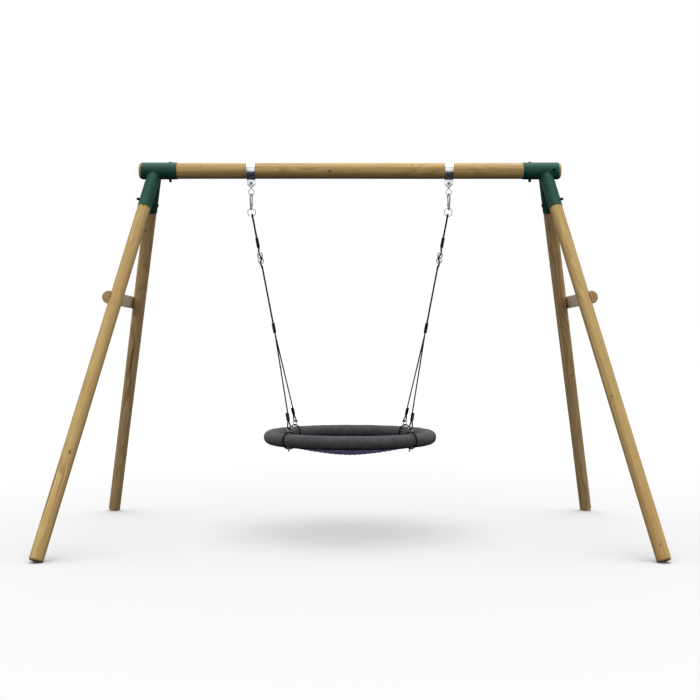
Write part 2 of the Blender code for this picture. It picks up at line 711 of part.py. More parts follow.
def lower_rope(side, front):
    """From inside the split ferrule down to the eye on its shackle."""
    label = f"{FRONT_NAME[front]}_{SIDE_NAME[side]}"
    top, down = rope_line(side)
    strand = LOWER_ROPE + FIT / 2
    bar = Vector((side * NEST_HALF_X, front * NEST_HALF_Y, HANG_Z))
    start = top + down * (ROPES_MEET + FIT) + Y * front * strand
    mouth = top + down * (SPLIT_FERRULE[1] + ROPE_SPREAD) + Y * front * strand
    up = (mouth - bar).normalized()
    radial = corner_way(side, front)
    across = (radial - up * radial.dot(up)).normalized()
    centre = bar + up * EYE_LIFT
    radius = SHACKLE_WIRE + LOWER_ROPE + EYE_PLAY
    neck = LOWER_FERRULE[0] - 0.004
    points = eye(centre, up, -across, radius, neck, strand, LOWER_FERRULE[1] - 0.006)
    leave = centre + up * (LOWER_FERRULE[1] + 0.004) - across * strand
    points.append(leave)
    points += rounded_corner(leave, mouth, start, 0.011)
    points.append(start)
    wire(f"lower_rope_{label}", points, LOWER_ROPE, "black_rope")
    ferrule(
        f"lower_ferrule_{label}", centre + up * LOWER_FERRULE[0], centre + up * LOWER_FERRULE[1],
        across, LOWER_FERRULE_SIZE, LOWER_FERRULE_BORE,
    )


def rope_sets():
    for side in SIDES:
        label = SIDE_NAME[side]
        top, down = rope_line(side)
        bottom = top_ring(side)
        main_rope(side, bottom)
        ferrule(
            f"top_ferrule_{label}", top + down * TOP_FERRULE[0], top + down * TOP_FERRULE[1],
            Y, TOP_FERRULE_SIZE, TOP_FERRULE_BORE,
        )
        rope_adjuster(side)
        ferrule(
            f"split_ferrule_{label}", top + down * SPLIT_FERRULE[0], top + down * SPLIT_FERRULE[1],
            Y, SPLIT_FERRULE_SIZE, SPLIT_FERRULE_BORE,
        )
        for front in FRONTS:
            lower_rope(side, front)


# ---- nest ---------------------------------------------------------------------------
def ring_of_section(name, section, finish, steps=NEST_STEPS):
    """A ring turned about the nest's upright axis from a closed (radius, height) section."""
    mesh = turned_mesh(name, section, steps)
    mesh.transform(Matrix.Translation(Z * NEST_Z))
    return add_part(name, mesh, finish)


def round_section(radius, sides):
    return [
        (NEST_RADIUS + radius * math.cos(math.tau * k / sides), radius * math.sin(math.tau * k / sides))
        for k in range(sides)
    ]


def split_section(outer, inner, sides, slit):
    """A C-shaped section, open by a slit on the inner side of the ring."""
    angles = [math.pi + slit + (math.tau - 2 * slit) * k / sides for k in range(sides + 1)]
    outside = [(NEST_RADIUS + outer * math.cos(a), outer * math.sin(a)) for a in angles]
    inside = [(NEST_RADIUS + inner * math.cos(a), inner * math.sin(a)) for a in angles]
    return outside + inside[::-1]


def nest():
    tube = ring_of_section("nest_tube", round_section(TUBE_RADIUS, 6), "zinc")
    hollow = turned_mesh("tube_hollow", round_section(TUBE_RADIUS - TUBE_WALL, 6), NEST_STEPS)
    hollow.transform(Matrix.Translation(Z * NEST_Z))
    use_cutter(tube, hollow)
    vent = Vector((NEST_RADIUS - TUBE_RADIUS / 2, 0, NEST_Z))
    drill(tube, vent - X * TUBE_RADIUS, vent, 0.003, 8)
    inner = COVER_RADIUS - COVER_THICK
    bore = TUBE_RADIUS / math.cos(math.pi / COVER_SIDES) + FIT
    ring_of_section("nest_foam", split_section(inner - FIT, bore, COVER_SIDES, 0.03), "foam")
    ring_of_section("nest_cover", split_section(COVER_RADIUS, inner + FIT, COVER_SIDES, 0.03), "grey_fabric")
    steps = 5
    under, over = [], []
    for k in range(steps + 1):
        share = k / steps
        height = -NET_DEPTH + (NET_RIM_HEIGHT + NET_DEPTH) * share**NET_SAG_POWER
        under.append((NET_RIM * share, height))
        over.append((NET_RIM * share, height + NET_THICK))
    ring_of_section("nest_net", over[::-1][:-1] + [(0.0, over[0][1])] + under, "violet_rope", 24)


def lashing_and_shackle(side, front):
    """A rope turn round the padded ring, and the wire shackle that hangs it from the lower rope."""
    label = f"{FRONT_NAME[front]}_{SIDE_NAME[side]}"
    radial = corner_way(side, front)
    tangent = Z.cross(radial)
    centre = radial * NEST_RADIUS + Z * NEST_Z
    loop_top = COVER_RADIUS + 0.0005 + SHACKLE_WIRE + SHACKLE_BEND
    loop_bottom = COVER_RADIUS + 0.0008 + LASHING_ROPE
    loop_radius = (loop_top + loop_bottom) / 2
    middle = centre + Z * (loop_top - loop_bottom) / 2
    half_pitch = LASHING_ROPE + 0.0008
    turns = 16
    points = []
    for k in range(turns + 1):
        angle = math.tau * k / turns
        slide = half_pitch * (2 * k / turns - 1)
        spoke = radial * math.sin(angle) - Z * math.cos(angle)
        points.append(middle + spoke * loop_radius + tangent * slide)
    tail = points[0] - tangent * 0.004 - Z * 0.014 + radial * -0.003
    wire(f"ring_lashing_{label}", [tail] + points, LASHING_ROPE, "black_rope", resolution=1)
    foot = centre + Z * loop_top
    height = HANG_Z - foot.z
    top = height - SHACKLE_CORNER
    corners = [(-way * SHACKLE_SPREAD, top, SHACKLE_CORNER) for way in (-1, 1)]
    circles = [(0, 0, SHACKLE_BEND)] + corners
    outline = belt(circles, 0.8)
    points = [foot + tangent * x + Z * z for x, z in outline]
    wire(f"shackle_{label}", points, SHACKLE_WIRE, "zinc", cyclic=True)


# ---- build --------------------------------------------------------------------------

clear_scene()
PARTS = new_collection("nest_swing")
CUTTERS = new_collection("cutters")

crossbeam()
legs()
side_rails()
corner_brackets()
frame_bolts()
for hanger_side in SIDES:
    hanger_strap(hanger_side)
    hanger_bolt(hanger_side)
    hanger_link(hanger_side)
    carabiner(hanger_side)
rope_sets()
nest()
for corner_side, corner_front in CORNERS:
    lashing_and_shackle(corner_side, corner_front)
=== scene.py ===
"""Looks of the garden nest swing: smooth timber, steel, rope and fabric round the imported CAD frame."""

import json
import math

import bmesh
import bpy
import numpy as np
from mathutils import Matrix, Vector, noise

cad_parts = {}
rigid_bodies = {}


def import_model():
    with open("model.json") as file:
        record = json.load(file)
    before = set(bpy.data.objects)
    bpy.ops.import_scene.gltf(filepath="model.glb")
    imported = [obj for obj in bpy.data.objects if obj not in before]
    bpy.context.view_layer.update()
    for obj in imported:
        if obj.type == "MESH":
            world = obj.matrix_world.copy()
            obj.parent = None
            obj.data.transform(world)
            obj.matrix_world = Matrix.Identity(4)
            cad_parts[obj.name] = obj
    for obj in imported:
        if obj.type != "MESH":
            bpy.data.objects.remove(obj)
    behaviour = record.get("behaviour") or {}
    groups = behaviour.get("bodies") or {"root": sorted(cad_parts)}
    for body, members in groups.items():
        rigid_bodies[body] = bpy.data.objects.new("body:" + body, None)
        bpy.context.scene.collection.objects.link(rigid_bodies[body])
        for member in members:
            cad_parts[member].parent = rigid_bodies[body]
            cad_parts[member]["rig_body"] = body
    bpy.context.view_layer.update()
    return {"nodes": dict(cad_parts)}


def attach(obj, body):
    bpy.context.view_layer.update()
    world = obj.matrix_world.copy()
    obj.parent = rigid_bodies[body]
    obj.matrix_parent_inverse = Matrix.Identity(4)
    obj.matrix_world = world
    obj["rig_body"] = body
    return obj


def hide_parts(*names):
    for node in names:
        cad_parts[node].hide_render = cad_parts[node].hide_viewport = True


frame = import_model()

X = Vector((1, 0, 0))
Y = Vector((0, 1, 0))
Z = Vector((0, 0, 1))
SIDES = (-1, 1)
FRONTS = (-1, 1)
SIDE_NAME = {-1: "left", 1: "right"}
FRONT_NAME = {-1: "front", 1: "rear"}
CORNERS = [(side, front) for side in SIDES for front in FRONTS]
CORNER_NAME = {(side, front): f"{FRONT_NAME[front]}_{SIDE_NAME[side]}" for side, front in CORNERS}

# ---- the frame's dimensions, as in the CAD source ------------------------------------------------
BEAM_HEIGHT = 2.094
BEAM_RADIUS = 0.0457
BEAM_HALF = 1.2177
LEG_RADIUS = 0.037
LEG_TOP = Vector((1.127, 0.0, BEAM_HEIGHT))
LEG_FOOT = Vector((1.561, 0.898, 0.0))
LEG_START = 0.112
RAIL_HEIGHT = 1.3385
RAIL_RADIUS = 0.0365
RAIL_HALF = 0.351
EDGE_ROUND = 0.010
SLEEVE_INNER_X = 0.9995
SLEEVE_OUTER_X = 1.2043
SLEEVE_WALL = 0.003
LEG_SLEEVE_WALL = 0.0022
LEG_SLEEVE_END = 0.248
UPRIGHT_BOLT_X = 1.040
LEVEL_BOLT_X = 1.172
LEG_BOLT_AT = 0.202
BOLT_RADIUS = 0.004
CAP_RADIUS = 0.0085
CAP_HEIGHT = 0.017
HEAD_RADIUS = 0.010
HEAD_HEIGHT = 0.003
FIT = 0.0003

HANGER_X = 0.572
STRAP_WIDTH = 0.048
STRAP_THICK = 0.003
EAR_GAP = 0.0112
EAR_BOTTOM = 1.9995
EAR_CLIP = 0.016  # how much each lower corner of an ear is clipped
HANGER_BOLT_Z = 2.022
LINK_WIRE = 0.00225
LINK_TOP_RADIUS = 0.013
LINK_RING_RADIUS = 0.01625
LINK_RING_Z = 1.9706
LINK_CROSSING = 0.0026
SWING_Z = LINK_RING_Z - LINK_RING_RADIUS
HOOK_WIRE = 0.004
HOOK_PLAY = 0.0007
HOOK_BIG_RADIUS = 0.018
HOOK_SMALL_RADIUS = 0.009
HOOK_YAW = math.radians(15)
SWAY_Z = 1.8707
RING_WIRE = 0.0025
RING_RADIUS = 0.023
GATE_RADIUS = 0.0034
PIN_RADIUS = 0.0012

MAIN_ROPE = 0.005
LOWER_ROPE = 0.004
NEST_HALF_X = 0.3335
NEST_HALF_Y = 0.3168
HANG_Z = 0.630
TOP_FERRULE = (0.166, 0.225)
ADJUSTER_AT = 0.286
ADJUSTER_WIRE = 0.003
ADJUSTER_RADIUS = 0.0165
ADJUSTER_PITCH = 0.031  # between the adjuster's two rings
ADJUSTER_TURN = math.radians(37)  # the adjuster's turn about the rope, out of the ropes' plane
SPLIT_FERRULE = (0.669, 0.728)
ROPES_MEET = 0.690
LOWER_FERRULE = (0.046, 0.090)
TOP_FERRULE_SIZE = (0.0135, 0.0093)
SPLIT_FERRULE_SIZE = (0.0120, 0.0093)
LOWER_FERRULE_SIZE = (0.0112, 0.0078)
TOP_EYE_PLAY = 0.0015
TOP_NECK = 0.060  # length over which the top eye closes
TAIL_SHORT = 0.008  # a rope's tail ends this far inside its ferrule
WEAVE_PLAY = 0.0008  # between the rope and the adjuster's rings
WEAVE_END = 0.040  # length over which the rope comes back to its line
ROPE_SPREAD = 0.012  # the lower ropes part this far below the split ferrule
EYE_PLAY = 0.0035
EYE_LIFT = 0.0012

NEST_Z = 0.556
NEST_RADIUS = 0.460
COVER_RADIUS = 0.038
LASHING_ROPE = 0.004
SHACKLE_WIRE = 0.0025
SHACKLE_BEND = 0.0075
SHACKLE_CORNER = 0.0045
SHACKLE_SPREAD = 0.0135
NET_DEPTH = 0.104
NET_THICK = 0.008
NET_RIM = 0.416
NET_RIM_HEIGHT = -0.036  # the rim's underside, from the ring's centre
NET_SAG_POWER = 1.5

# ---- the camera and the studio -------------------------------------------------------------------
CAMERA_PLACE = (0.0, -6.253, 1.046)
CAMERA_LENS = 55.54
CAMERA_SHIFT_Y = 0.00286
FLOOR_HALF = 60.0
FLOOR_NEAR = 0.605  # the floor's reflectance under the swing
# painted light: far from the swing the floor's reflectance is raised, a painted brightening towards the
# horizon
FLOOR_FAR_PAINTED_LIGHT = 0.675
# the sky's brightness from straight below (0) through the horizon (0.5) to straight above (1)
SKY_STOPS = [(0.0, 0.02), (0.32, 0.05), (0.45, 0.20), (0.54, 0.52), (0.75, 0.62), (1.0, 0.80)]
GROUND_COOL = 1.35  # how much bluer the light from below is


# ---- materials -----------------------------------------------------------------------------------
class Nodes:
    """A node tree, written in short calls."""

    def __init__(self, owner):
        owner.use_nodes = True
        self.tree = owner.node_tree

    def put(self, socket, value):
        if isinstance(value, bpy.types.NodeSocket):
            self.tree.links.new(value, socket)
        elif socket.type == "RGBA":
            socket.default_value = (*value, 1)
        else:
            socket.default_value = value

    def node(self, kind, inputs, output=0, **settings):
        made = self.tree.nodes.new("ShaderNode" + kind)
        for key, value in settings.items():
            setattr(made, key, value)
        for key, value in inputs.items():
            self.put(made.inputs[key], value)
        return made.outputs[output]

    def place(self):
        """The point in the piece's own coordinates."""
        return self.node("TexCoord", {}, "Object")

    def laid(self):
        """The point on a swept piece as if it lay straight: along it, and two ways across."""
        return self.node("Attribute", {}, "Vector", attribute_name="laid")

    def split(self, vector):
        parts = self.node("SeparateXYZ", {0: vector}).node.outputs
        return parts[0], parts[1], parts[2]

    def join(self, x, y, z):
        return self.node("CombineXYZ", {0: x, 1: y, 2: z})

    def math(self, operation, *values):
        return self.node("Math", dict(enumerate(values)), operation=operation)

    def vector(self, operation, *values):
        output = 1 if operation in ("LENGTH", "DISTANCE", "DOT_PRODUCT") else 0
        return self.node("VectorMath", dict(enumerate(values)), output, operation=operation)

    def noise(self, vector, scale, stretch=(1, 1, 1), shift=(0, 0, 0), detail=3.0, roughness=0.5):
        mapped = self.node("Mapping", {"Vector": vector, "Scale": stretch, "Location": shift})
        inputs = {"Vector": mapped, "Scale": scale, "Detail": detail, "Roughness": roughness}
        return self.node("TexNoise", inputs)

    def band(self, value, start, end, low=0.0, high=1.0):
        """Runs smoothly from low to high as value runs from start to end."""
        ends = {"Value": value, "From Min": start, "From Max": end, "To Min": low, "To Max": high}
        return self.node("MapRange", ends, interpolation_type="SMOOTHSTEP")

    def ramp(self, value, stops):
        made = self.tree.nodes.new("ShaderNodeValToRGB")
        self.put(made.inputs[0], value)
        elements = made.color_ramp.elements
        while len(elements) < len(stops):
            elements.new(0.5)
        for element, (position, colour) in zip(elements, stops):
            element.position = position
            element.color = (*colour, 1)
        return made.outputs[0]

    def mix(self, share, first, second, blend="MIX"):
        return self.node("Mix", {0: share, 6: first, 7: second}, 2, data_type="RGBA", blend_type=blend)


class Shader(Nodes):
    """A material's node tree."""

    def __init__(self, name, roughness, metallic=0.0, specular=0.5):
        self.material = bpy.data.materials.new(name)
        super().__init__(self.material)
        self.surface = self.tree.nodes["Principled BSDF"]
        self.surface.inputs["Roughness"].default_value = roughness
        self.surface.inputs["Metallic"].default_value = metallic
        self.surface.inputs["Specular IOR Level"].default_value = specular

    def finish(self, colour, height=None, distance=0.001, roughness=None):
        """The finished material: its colour, and a bump of the given height if there is one."""
        self.put(self.surface.inputs["Base Color"], colour)
        if roughness is not None:
            self.put(self.surface.inputs["Roughness"], roughness)
        if height is not None:
            normal = self.node("Bump", {"Height": height, "Distance": distance, "Strength": 1.0})
            self.put(self.surface.inputs["Normal"], normal)
        return self.material


PINE_PALE = (0.66, 0.495, 0.210)
PINE_MID = (0.57, 0.405, 0.160)
PINE_LATE = (0.40, 0.262, 0.095)
PINE_HEART = (0.54, 0.345, 0.135)
PINE_SAWN = (0.85, 0.70, 0.52)  # a freshly sawn flat face
PINE_STREAK = (0.46, 0.270, 0.095)
KNOT_DARK = (0.130, 0.070, 0.028)
CHECK_DARK = (0.09, 0.045, 0.02)  # the bottom of a drying check
# painted light: the rear legs' wood is made lighter and bluer, a painted cool fill light
REAR_LEG_PAINTED_FILL = (1.10, 1.12, 1.30)
RING_WIDTH = 0.0042
BLACK = (0.004, 0.004, 0.0045)


def pine(name, seed, tone_and_painted_fill, knots, radius, flat=False):
    """Planed pine with growth rings about a wandering pith, knots, fibres and a few drying checks."""
    s = Shader(name, 0.62, specular=0.2)
    at = s.laid()
    x, y, z = s.split(at)
    shift = (seed * 3.1, seed * 1.7, seed * 2.3)
    line = s.vector("ADD", s.join(0.0, 0.0, z), shift)
    wander = s.node("TexNoise", {"Vector": line, "Scale": 1.3, "Detail": 1.5}, "Color")
    lean = 0.011 + 0.004 * math.sin(seed * 2.0)
    middle = (lean * math.cos(seed * 1.9) - 0.026, lean * math.sin(seed * 1.9) - 0.026, 0.0)
    pith = s.vector("MULTIPLY_ADD", wander, (0.052, 0.052, 0.0), middle)
    away = s.vector("DISTANCE", s.join(x, y, 0.0), pith)
    ring = s.math("DIVIDE", away, RING_WIDTH)
    ring = s.math("MULTIPLY_ADD", z, 0.55, ring)
    rough_grain = s.noise(at, 22.0, (1, 1, 0.09), shift)
    ring = s.math("MULTIPLY_ADD", rough_grain, 2.4, ring)
    core = None
    for along, degrees, size in knots:
        angle = math.radians(degrees)
        spot = (radius * math.cos(angle), radius * math.sin(angle), along)
        apart = s.vector("MULTIPLY", s.vector("SUBTRACT", at, spot), (1.0, 1.0, 0.62))
        apart = s.vector("LENGTH", apart)
        ring = s.math("MULTIPLY_ADD", s.band(apart, size * 4.2, size * 0.4), 3.2, ring)
        heart = s.band(apart, size * 0.95, size * 0.55)
        core = heart if core is None else s.math("MAXIMUM", core, heart)
    wave = s.math("FRACT", ring)
    stops = [(0.0, PINE_PALE), (0.45, PINE_MID), (0.82, PINE_LATE), (0.93, PINE_LATE), (1.0, PINE_PALE)]
    colour = s.ramp(wave, stops)
    broad = s.noise(at, 5.0, (1, 1, 0.12), shift, 2.0)
    colour = s.mix(s.band(broad, 0.45, 0.72, 0.0, 0.55), colour, PINE_HEART)
    soft = s.noise(at, 9.0, (1, 1, 0.25), shift, 2.0)
    colour = s.mix(s.band(soft, 0.35, 0.65, 0.15, 0.55), colour, PINE_MID)
    streak = s.noise(at, 52.0, (1, 1, 0.010), shift, 2.0)
    colour = s.mix(s.band(streak, 0.42, 0.64, 0.0, 0.6), colour, PINE_STREAK)
    fibre = s.noise(at, 260.0, (1, 1, 0.02), shift, 3.0, 0.6)
    colour = s.mix(s.band(fibre, 0.3, 0.75, 0.0, 0.34), colour, PINE_LATE, "MULTIPLY")
    check_noise = s.noise(at, 60.0, (1, 1, 0.022), shift, 1.0)
    check = s.band(check_noise, 0.735, 0.765)
    colour = s.mix(s.math("MULTIPLY", check, 0.75), colour, CHECK_DARK)
    height = s.math("MULTIPLY_ADD", fibre, 0.35, s.math("MULTIPLY", s.band(wave, 0.5, 0.85), 0.4))
    height = s.math("MULTIPLY_ADD", check, -1.6, height)
    if core is not None:
        halo = s.noise(at, 180.0, (1, 1, 1), shift, 2.0)
        shade = s.math("MULTIPLY", core, s.band(halo, 0.2, 0.8, 0.75, 1.0))
        colour = s.mix(shade, colour, KNOT_DARK)
        height = s.math("MULTIPLY_ADD", core, 0.5, height)
    if flat:
        colour = s.mix(s.band(y, 0.002, 0.001, 0.0, 0.85), colour, PINE_SAWN)
    # the tint of each pole; on the rear legs it is painted fill light, lighter and bluer
    colour = s.mix(1.0, colour, tone_and_painted_fill, "MULTIPLY")
    gloss = s.band(wave, 0.4, 0.9, 0.66, 0.52)
    return s.finish(colour, height, 0.0006, gloss)


def green_paint():
    """Powder-coated steel: orange peel, faint cloudiness and a little dust."""
    s = Shader("green_powder_coat", 0.42, specular=0.22)
    at = s.place()
    cloud = s.noise(at, 14.0, detail=3.0)
    speck = s.noise(at, 900.0, detail=2.0)
    colour = s.mix(s.band(cloud, 0.3, 0.7), (0.007, 0.064, 0.038), (0.011, 0.080, 0.050))
    colour = s.mix(s.band(speck, 0.62, 0.78, 0.0, 0.35), colour, (0.040, 0.110, 0.080))
    peel = s.noise(at, 420.0, detail=2.0)
    return s.finish(colour, peel, 0.00025, s.band(cloud, 0.2, 0.8, 0.42, 0.55))


def zinc(name, colour, roughness):
    """Bright zinc plate with a faint spangle and rubbed streaks."""
    s = Shader(name, roughness, 1.0)
    at = s.place()
    spangle = s.noise(at, 210.0, detail=3.0)
    rubbed = s.noise(at, 60.0, (1, 1, 7), detail=4.0, roughness=0.7)
    darker = tuple(c * 0.74 for c in colour)
    blend = s.mix(s.band(spangle, 0.35, 0.7), colour, darker)
    blend = s.mix(s.band(rubbed, 0.6, 0.8, 0.0, 0.4), blend, tuple(c * 0.55 for c in colour))
    gloss = s.band(rubbed, 0.3, 0.7, roughness * 0.75, roughness * 1.35)
    return s.finish(blend, rubbed, 0.00001, gloss)


def black_plastic(name, roughness):
    """Moulded black plastic with a fine spark-eroded grain."""
    s = Shader(name, roughness, specular=0.15)
    at = s.place()
    grain = s.noise(at, 1600.0, detail=2.0)
    scuff = s.noise(at, 90.0, (1, 1, 4), detail=4.0)
    blend = s.mix(s.band(scuff, 0.6, 0.8, 0.0, 0.5), BLACK, tuple(c * 2.4 for c in BLACK))
    return s.finish(blend, grain, 0.0001, s.band(scuff, 0.3, 0.8, roughness * 0.8, roughness * 1.3))


def rope_material(name, colour, fleck, fleck_share, fleck_every):
    """Twisted or braided yarns: fine fibres along the lay, with flecks of a lighter yarn."""
    s = Shader(name, 0.78, specular=0.08)
    at = s.laid()
    fibre = s.noise(at, 1500.0, (0.3, 1, 1), detail=3.0)
    worn = s.noise(at, 70.0, detail=2.0)
    yarn = s.mix(s.band(fibre, 0.35, 0.7), colour, tuple(c * 1.8 for c in colour))
    yarn = s.mix(s.band(worn, 0.5, 0.75, 0.0, 0.35), yarn, tuple(c * 2.2 for c in colour))
    along, first, second = s.split(at)
    turn = s.math("ARCTAN2", second, first)
    phase = s.math("MULTIPLY_ADD", along, math.tau / fleck_every, turn)
    mark = s.band(s.math("SINE", phase), 1.0 - 2 * fleck_share, 1.0 - fleck_share)
    yarn = s.mix(s.math("MULTIPLY", mark, 0.85), yarn, fleck)
    return s.finish(yarn, fibre, 0.0004)


PAINTED_SHADE_EDGE = -0.024  # painted shade: the ring's underside is painted black below this height from its middle


def ring_fabric(name, colour, light):
    """Heavy woven polyester: a basket weave with uneven lighter yarns, and painted shade in black along its
    underside.
    """
    s = Shader(name, 0.86, specular=0.25)
    s.surface.inputs["Sheen Weight"].default_value = 0.12
    s.surface.inputs["Sheen Roughness"].default_value = 0.45
    x, y, z = s.split(s.place())
    spread = s.vector("LENGTH", s.join(x, y, 0.0))
    round_ring = s.math("MULTIPLY", s.math("ARCTAN2", y, x), NEST_RADIUS)
    up = s.math("SUBTRACT", z, NEST_Z)
    out = s.math("SUBTRACT", spread, NEST_RADIUS)
    round_tube = s.math("MULTIPLY", s.math("ARCTAN2", up, out), COVER_RADIUS)
    yarn_pitch = 0.0016
    warp = s.math("SINE", s.math("MULTIPLY", round_ring, math.tau / yarn_pitch))
    weft = s.math("SINE", s.math("MULTIPLY", round_tube, math.tau / yarn_pitch))
    weave = s.math("MULTIPLY", warp, weft)
    cloth = s.join(round_ring, round_tube, 0.0)
    warp_yarn = s.noise(cloth, 620.0, (0.04, 1, 1), detail=2.0)
    weft_yarn = s.noise(cloth, 620.0, (1, 0.04, 1), detail=2.0)
    light_warp, light_weft = (s.band(yarn, 0.5, 0.72, 0.0, 0.5) for yarn in (warp_yarn, weft_yarn))
    melange = s.math("ADD", light_warp, light_weft)
    blotch = s.noise(s.place(), 30.0, detail=4.0, roughness=0.65)
    blend = s.mix(melange, colour, light)
    blend = s.mix(s.band(weave, -0.8, 0.8, 0.32, 0.0), blend, tuple(c * 0.55 for c in colour))
    blend = s.mix(s.band(blotch, 0.4, 0.72, 0.0, 0.35), blend, light)
    # painted shade: below the edge the cover's underside is painted black
    blend = s.mix(s.band(up, PAINTED_SHADE_EDGE, PAINTED_SHADE_EDGE - 0.002), blend, BLACK)
    height = s.math("MULTIPLY_ADD", melange, 0.5, weave)
    return s.finish(blend, height, 0.00022)


def thread_material():
    """Grey sewing thread."""
    s = Shader("stitching_thread", 0.6)
    lay = s.noise(s.laid(), 2500.0, (0.4, 1, 1), detail=2.0)
    return s.finish(s.mix(lay, (0.10, 0.10, 0.105), (0.20, 0.20, 0.21)), lay, 0.0001)


# ---- mesh helpers --------------------------------------------------------------------------------
def mesh_from(verts, faces, smooth_angle=35):
    mesh = bpy.data.meshes.new("mesh")
    mesh.from_pydata([tuple(v) for v in verts], [], [tuple(f) for f in faces])
    bm = bmesh.new()
    bm.from_mesh(mesh)
    bmesh.ops.recalc_face_normals(bm, faces=bm.faces)
    bm.to_mesh(mesh)
    bm.free()
    mesh.shade_smooth()
    mesh.set_sharp_from_angle(angle=math.radians(smooth_angle))
    return mesh


def joined(meshes):
    """One mesh from several; their "laid" coordinates are kept."""
    whole = bmesh.new()
    for mesh in meshes:
        whole.from_mesh(mesh)
    made = bpy.data.meshes.new("mesh")
    whole.to_mesh(made)
    whole.free()
    return made


def keep_laid(mesh, points):
    """Stores each point's place on the straight piece, for materials that follow it."""
    stored = mesh.attributes.new("laid", "FLOAT_VECTOR", "POINT")
    stored.data.foreach_set("vector", np.array(points, np.float32).ravel())


def piece(name, mesh, look, nodes=(), body=None):
    """A visible piece: it stands for CAD nodes, rides on their body, and takes the given material."""
    mesh.name = name
    obj = bpy.data.objects.new(name, mesh)
    bpy.context.scene.collection.objects.link(obj)
    mesh.materials.clear()
    mesh.materials.append(look)
    body = body or frame["nodes"][nodes[0]]["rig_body"]
    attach(obj, body)
    if nodes:
        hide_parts(*nodes)
    return obj


def piece_of(node, ending, mesh, look):
    """The piece that stands for one CAD node, named after it."""
    return piece(f"{node}_{ending}", mesh, look, [node])


def pose_along(start, direction):
    """A matrix that puts local +Z along direction, with the origin at start."""
    turn = Z.rotation_difference(Vector(direction)).to_matrix().to_4x4()
    return Matrix.Translation(start) @ turn


def grid_faces(rows, columns, closed_rows=False):
    """Quads of a grid whose columns close on themselves."""
    faces = []
    for i in range(rows if closed_rows else rows - 1):
        below = i * columns
        above = (i + 1) % rows * columns
        for k in range(columns):
            after = (k + 1) % columns
            faces.append((below + k, below + after, above + after, above + k))
    return faces


def angles(count):
    """Evenly spaced angles, once round."""
    return [math.tau * k / count for k in range(count)]


def circle(count):
    """The (cos, sin) of evenly spaced angles, once round."""
    return [(math.cos(angle), math.sin(angle)) for angle in angles(count)]


def capped(verts, sides, tips, smooth_angle=35):
    """A closed mesh from rows of points, with a fan to a tip at each end."""
    rows = len(verts) // sides
    faces = grid_faces(rows, sides)
    for start, tip in zip((0, (rows - 1) * sides), (len(verts), len(verts) + 1)):
        faces += [(start + k, start + (k + 1) % sides, tip) for k in range(sides)]
    return mesh_from(verts + list(tips), faces, smooth_angle)


def turned(profile, steps=48, closed=False, smooth_angle=35):
    """A mesh turned about Z from a (radius, height) profile, from axis to axis or a closed outline."""
    rows = profile if closed else profile[1:-1]
    verts = [(radius * x, radius * y, height) for radius, height in rows for x, y in circle(steps)]
    if closed:
        return mesh_from(verts, grid_faces(len(rows), steps, True), smooth_angle)
    return capped(verts, steps, [(0, 0, profile[end][1]) for end in (0, -1)], smooth_angle)


def rounded_corner(before, corner, after, trim, steps=4):
    """A smooth bend that leaves each side of a corner at the trim distance."""
    a = corner + (before - corner).normalized() * trim
    b = corner + (after - corner).normalized() * trim
    shares = [k / steps for k in range(steps + 1)]
    return [a * (1 - s) ** 2 + corner * 2 * s * (1 - s) + b * s**2 for s in shares]


def rounded(corners, radius, steps=4):
    """A closed outline with each corner rounded to about the given radius."""
    points = []
    count = len(corners)
    for i in range(count):
        before, corner, after = (Vector(corners[(i + k) % count]) for k in (-1, 0, 1))
        trim = min(radius, (before - corner).length / 2.01, (after - corner).length / 2.01)
        points += rounded_corner(before, corner, after, trim, steps)
    return points


def resampled(points, step, closed=False):
    """Points at an even step on a smooth curve through the given points."""
    points = [np.array(p, float) for p in points]
    count = len(points)
    dense = []
    for i in range(count if closed else count - 1):
        if closed:
            a, b, c, d = (points[(i + k) % count] for k in (-1, 0, 1, 2))
        else:
            a, b, c, d = (points[min(max(i + k, 0), count - 1)] for k in (-1, 0, 1, 2))
        spans = max(2, math.ceil(np.linalg.norm(c - b) / step) * 3)
        for j in range(spans):
            t = j / spans
            square = (2 * a - 5 * b + 4 * c - d) * t**2
            cube = (3 * b - a - 3 * c + d) * t**3
            dense.append(0.5 * (2 * b + (c - a) * t + square + cube))
    dense.append(points[0] if closed else points[-1])
    dense = np.array(dense)
    lengths = np.concatenate([[0], np.cumsum(np.linalg.norm(np.diff(dense, axis=0), axis=1))])
    total = max(4, round(lengths[-1] / step))
    wanted = np.linspace(0, lengths[-1], total + 1)
    even = np.stack([np.interp(wanted, lengths, dense[:, k]) for k in range(3)], axis=1)
    return even[:-1] if closed else even


def length_of(points):
    """The length of an open line of points."""
    return float(np.linalg.norm(np.diff(np.array(points), axis=0), axis=1).sum())


def frames_along(points, closed):
    """Two unit vectors across a line at each of its points, carried along without twist."""
    count = len(points)
    if closed:
        tangents = np.roll(points, -1, 0) - np.roll(points, 1, 0)
    else:
        tangents = np.gradient(points, axis=0)
    tangents /= np.linalg.norm(tangents, axis=1)[:, None]
    helper = np.eye(3)[np.argmin(np.abs(tangents[0]))]
    first = np.cross(tangents[0], helper)
    first /= np.linalg.norm(first)
    normals = [first]
    for i in range(1, count):
        carried = normals[-1] - tangents[i] * (normals[-1] @ tangents[i])
        normals.append(carried / np.linalg.norm(carried))
    normals = np.array(normals)
    others = np.cross(tangents, normals)
    if closed:
        last = normals[-1] - tangents[0] * (normals[-1] @ tangents[0])
        twist = math.atan2(last @ others[0], last @ normals[0])
        share = -twist * np.arange(count) / count
        cos, sin = np.cos(share)[:, None], np.sin(share)[:, None]
        normals, others = normals * cos + others * sin, others * cos - normals * sin
    return tangents, normals, others


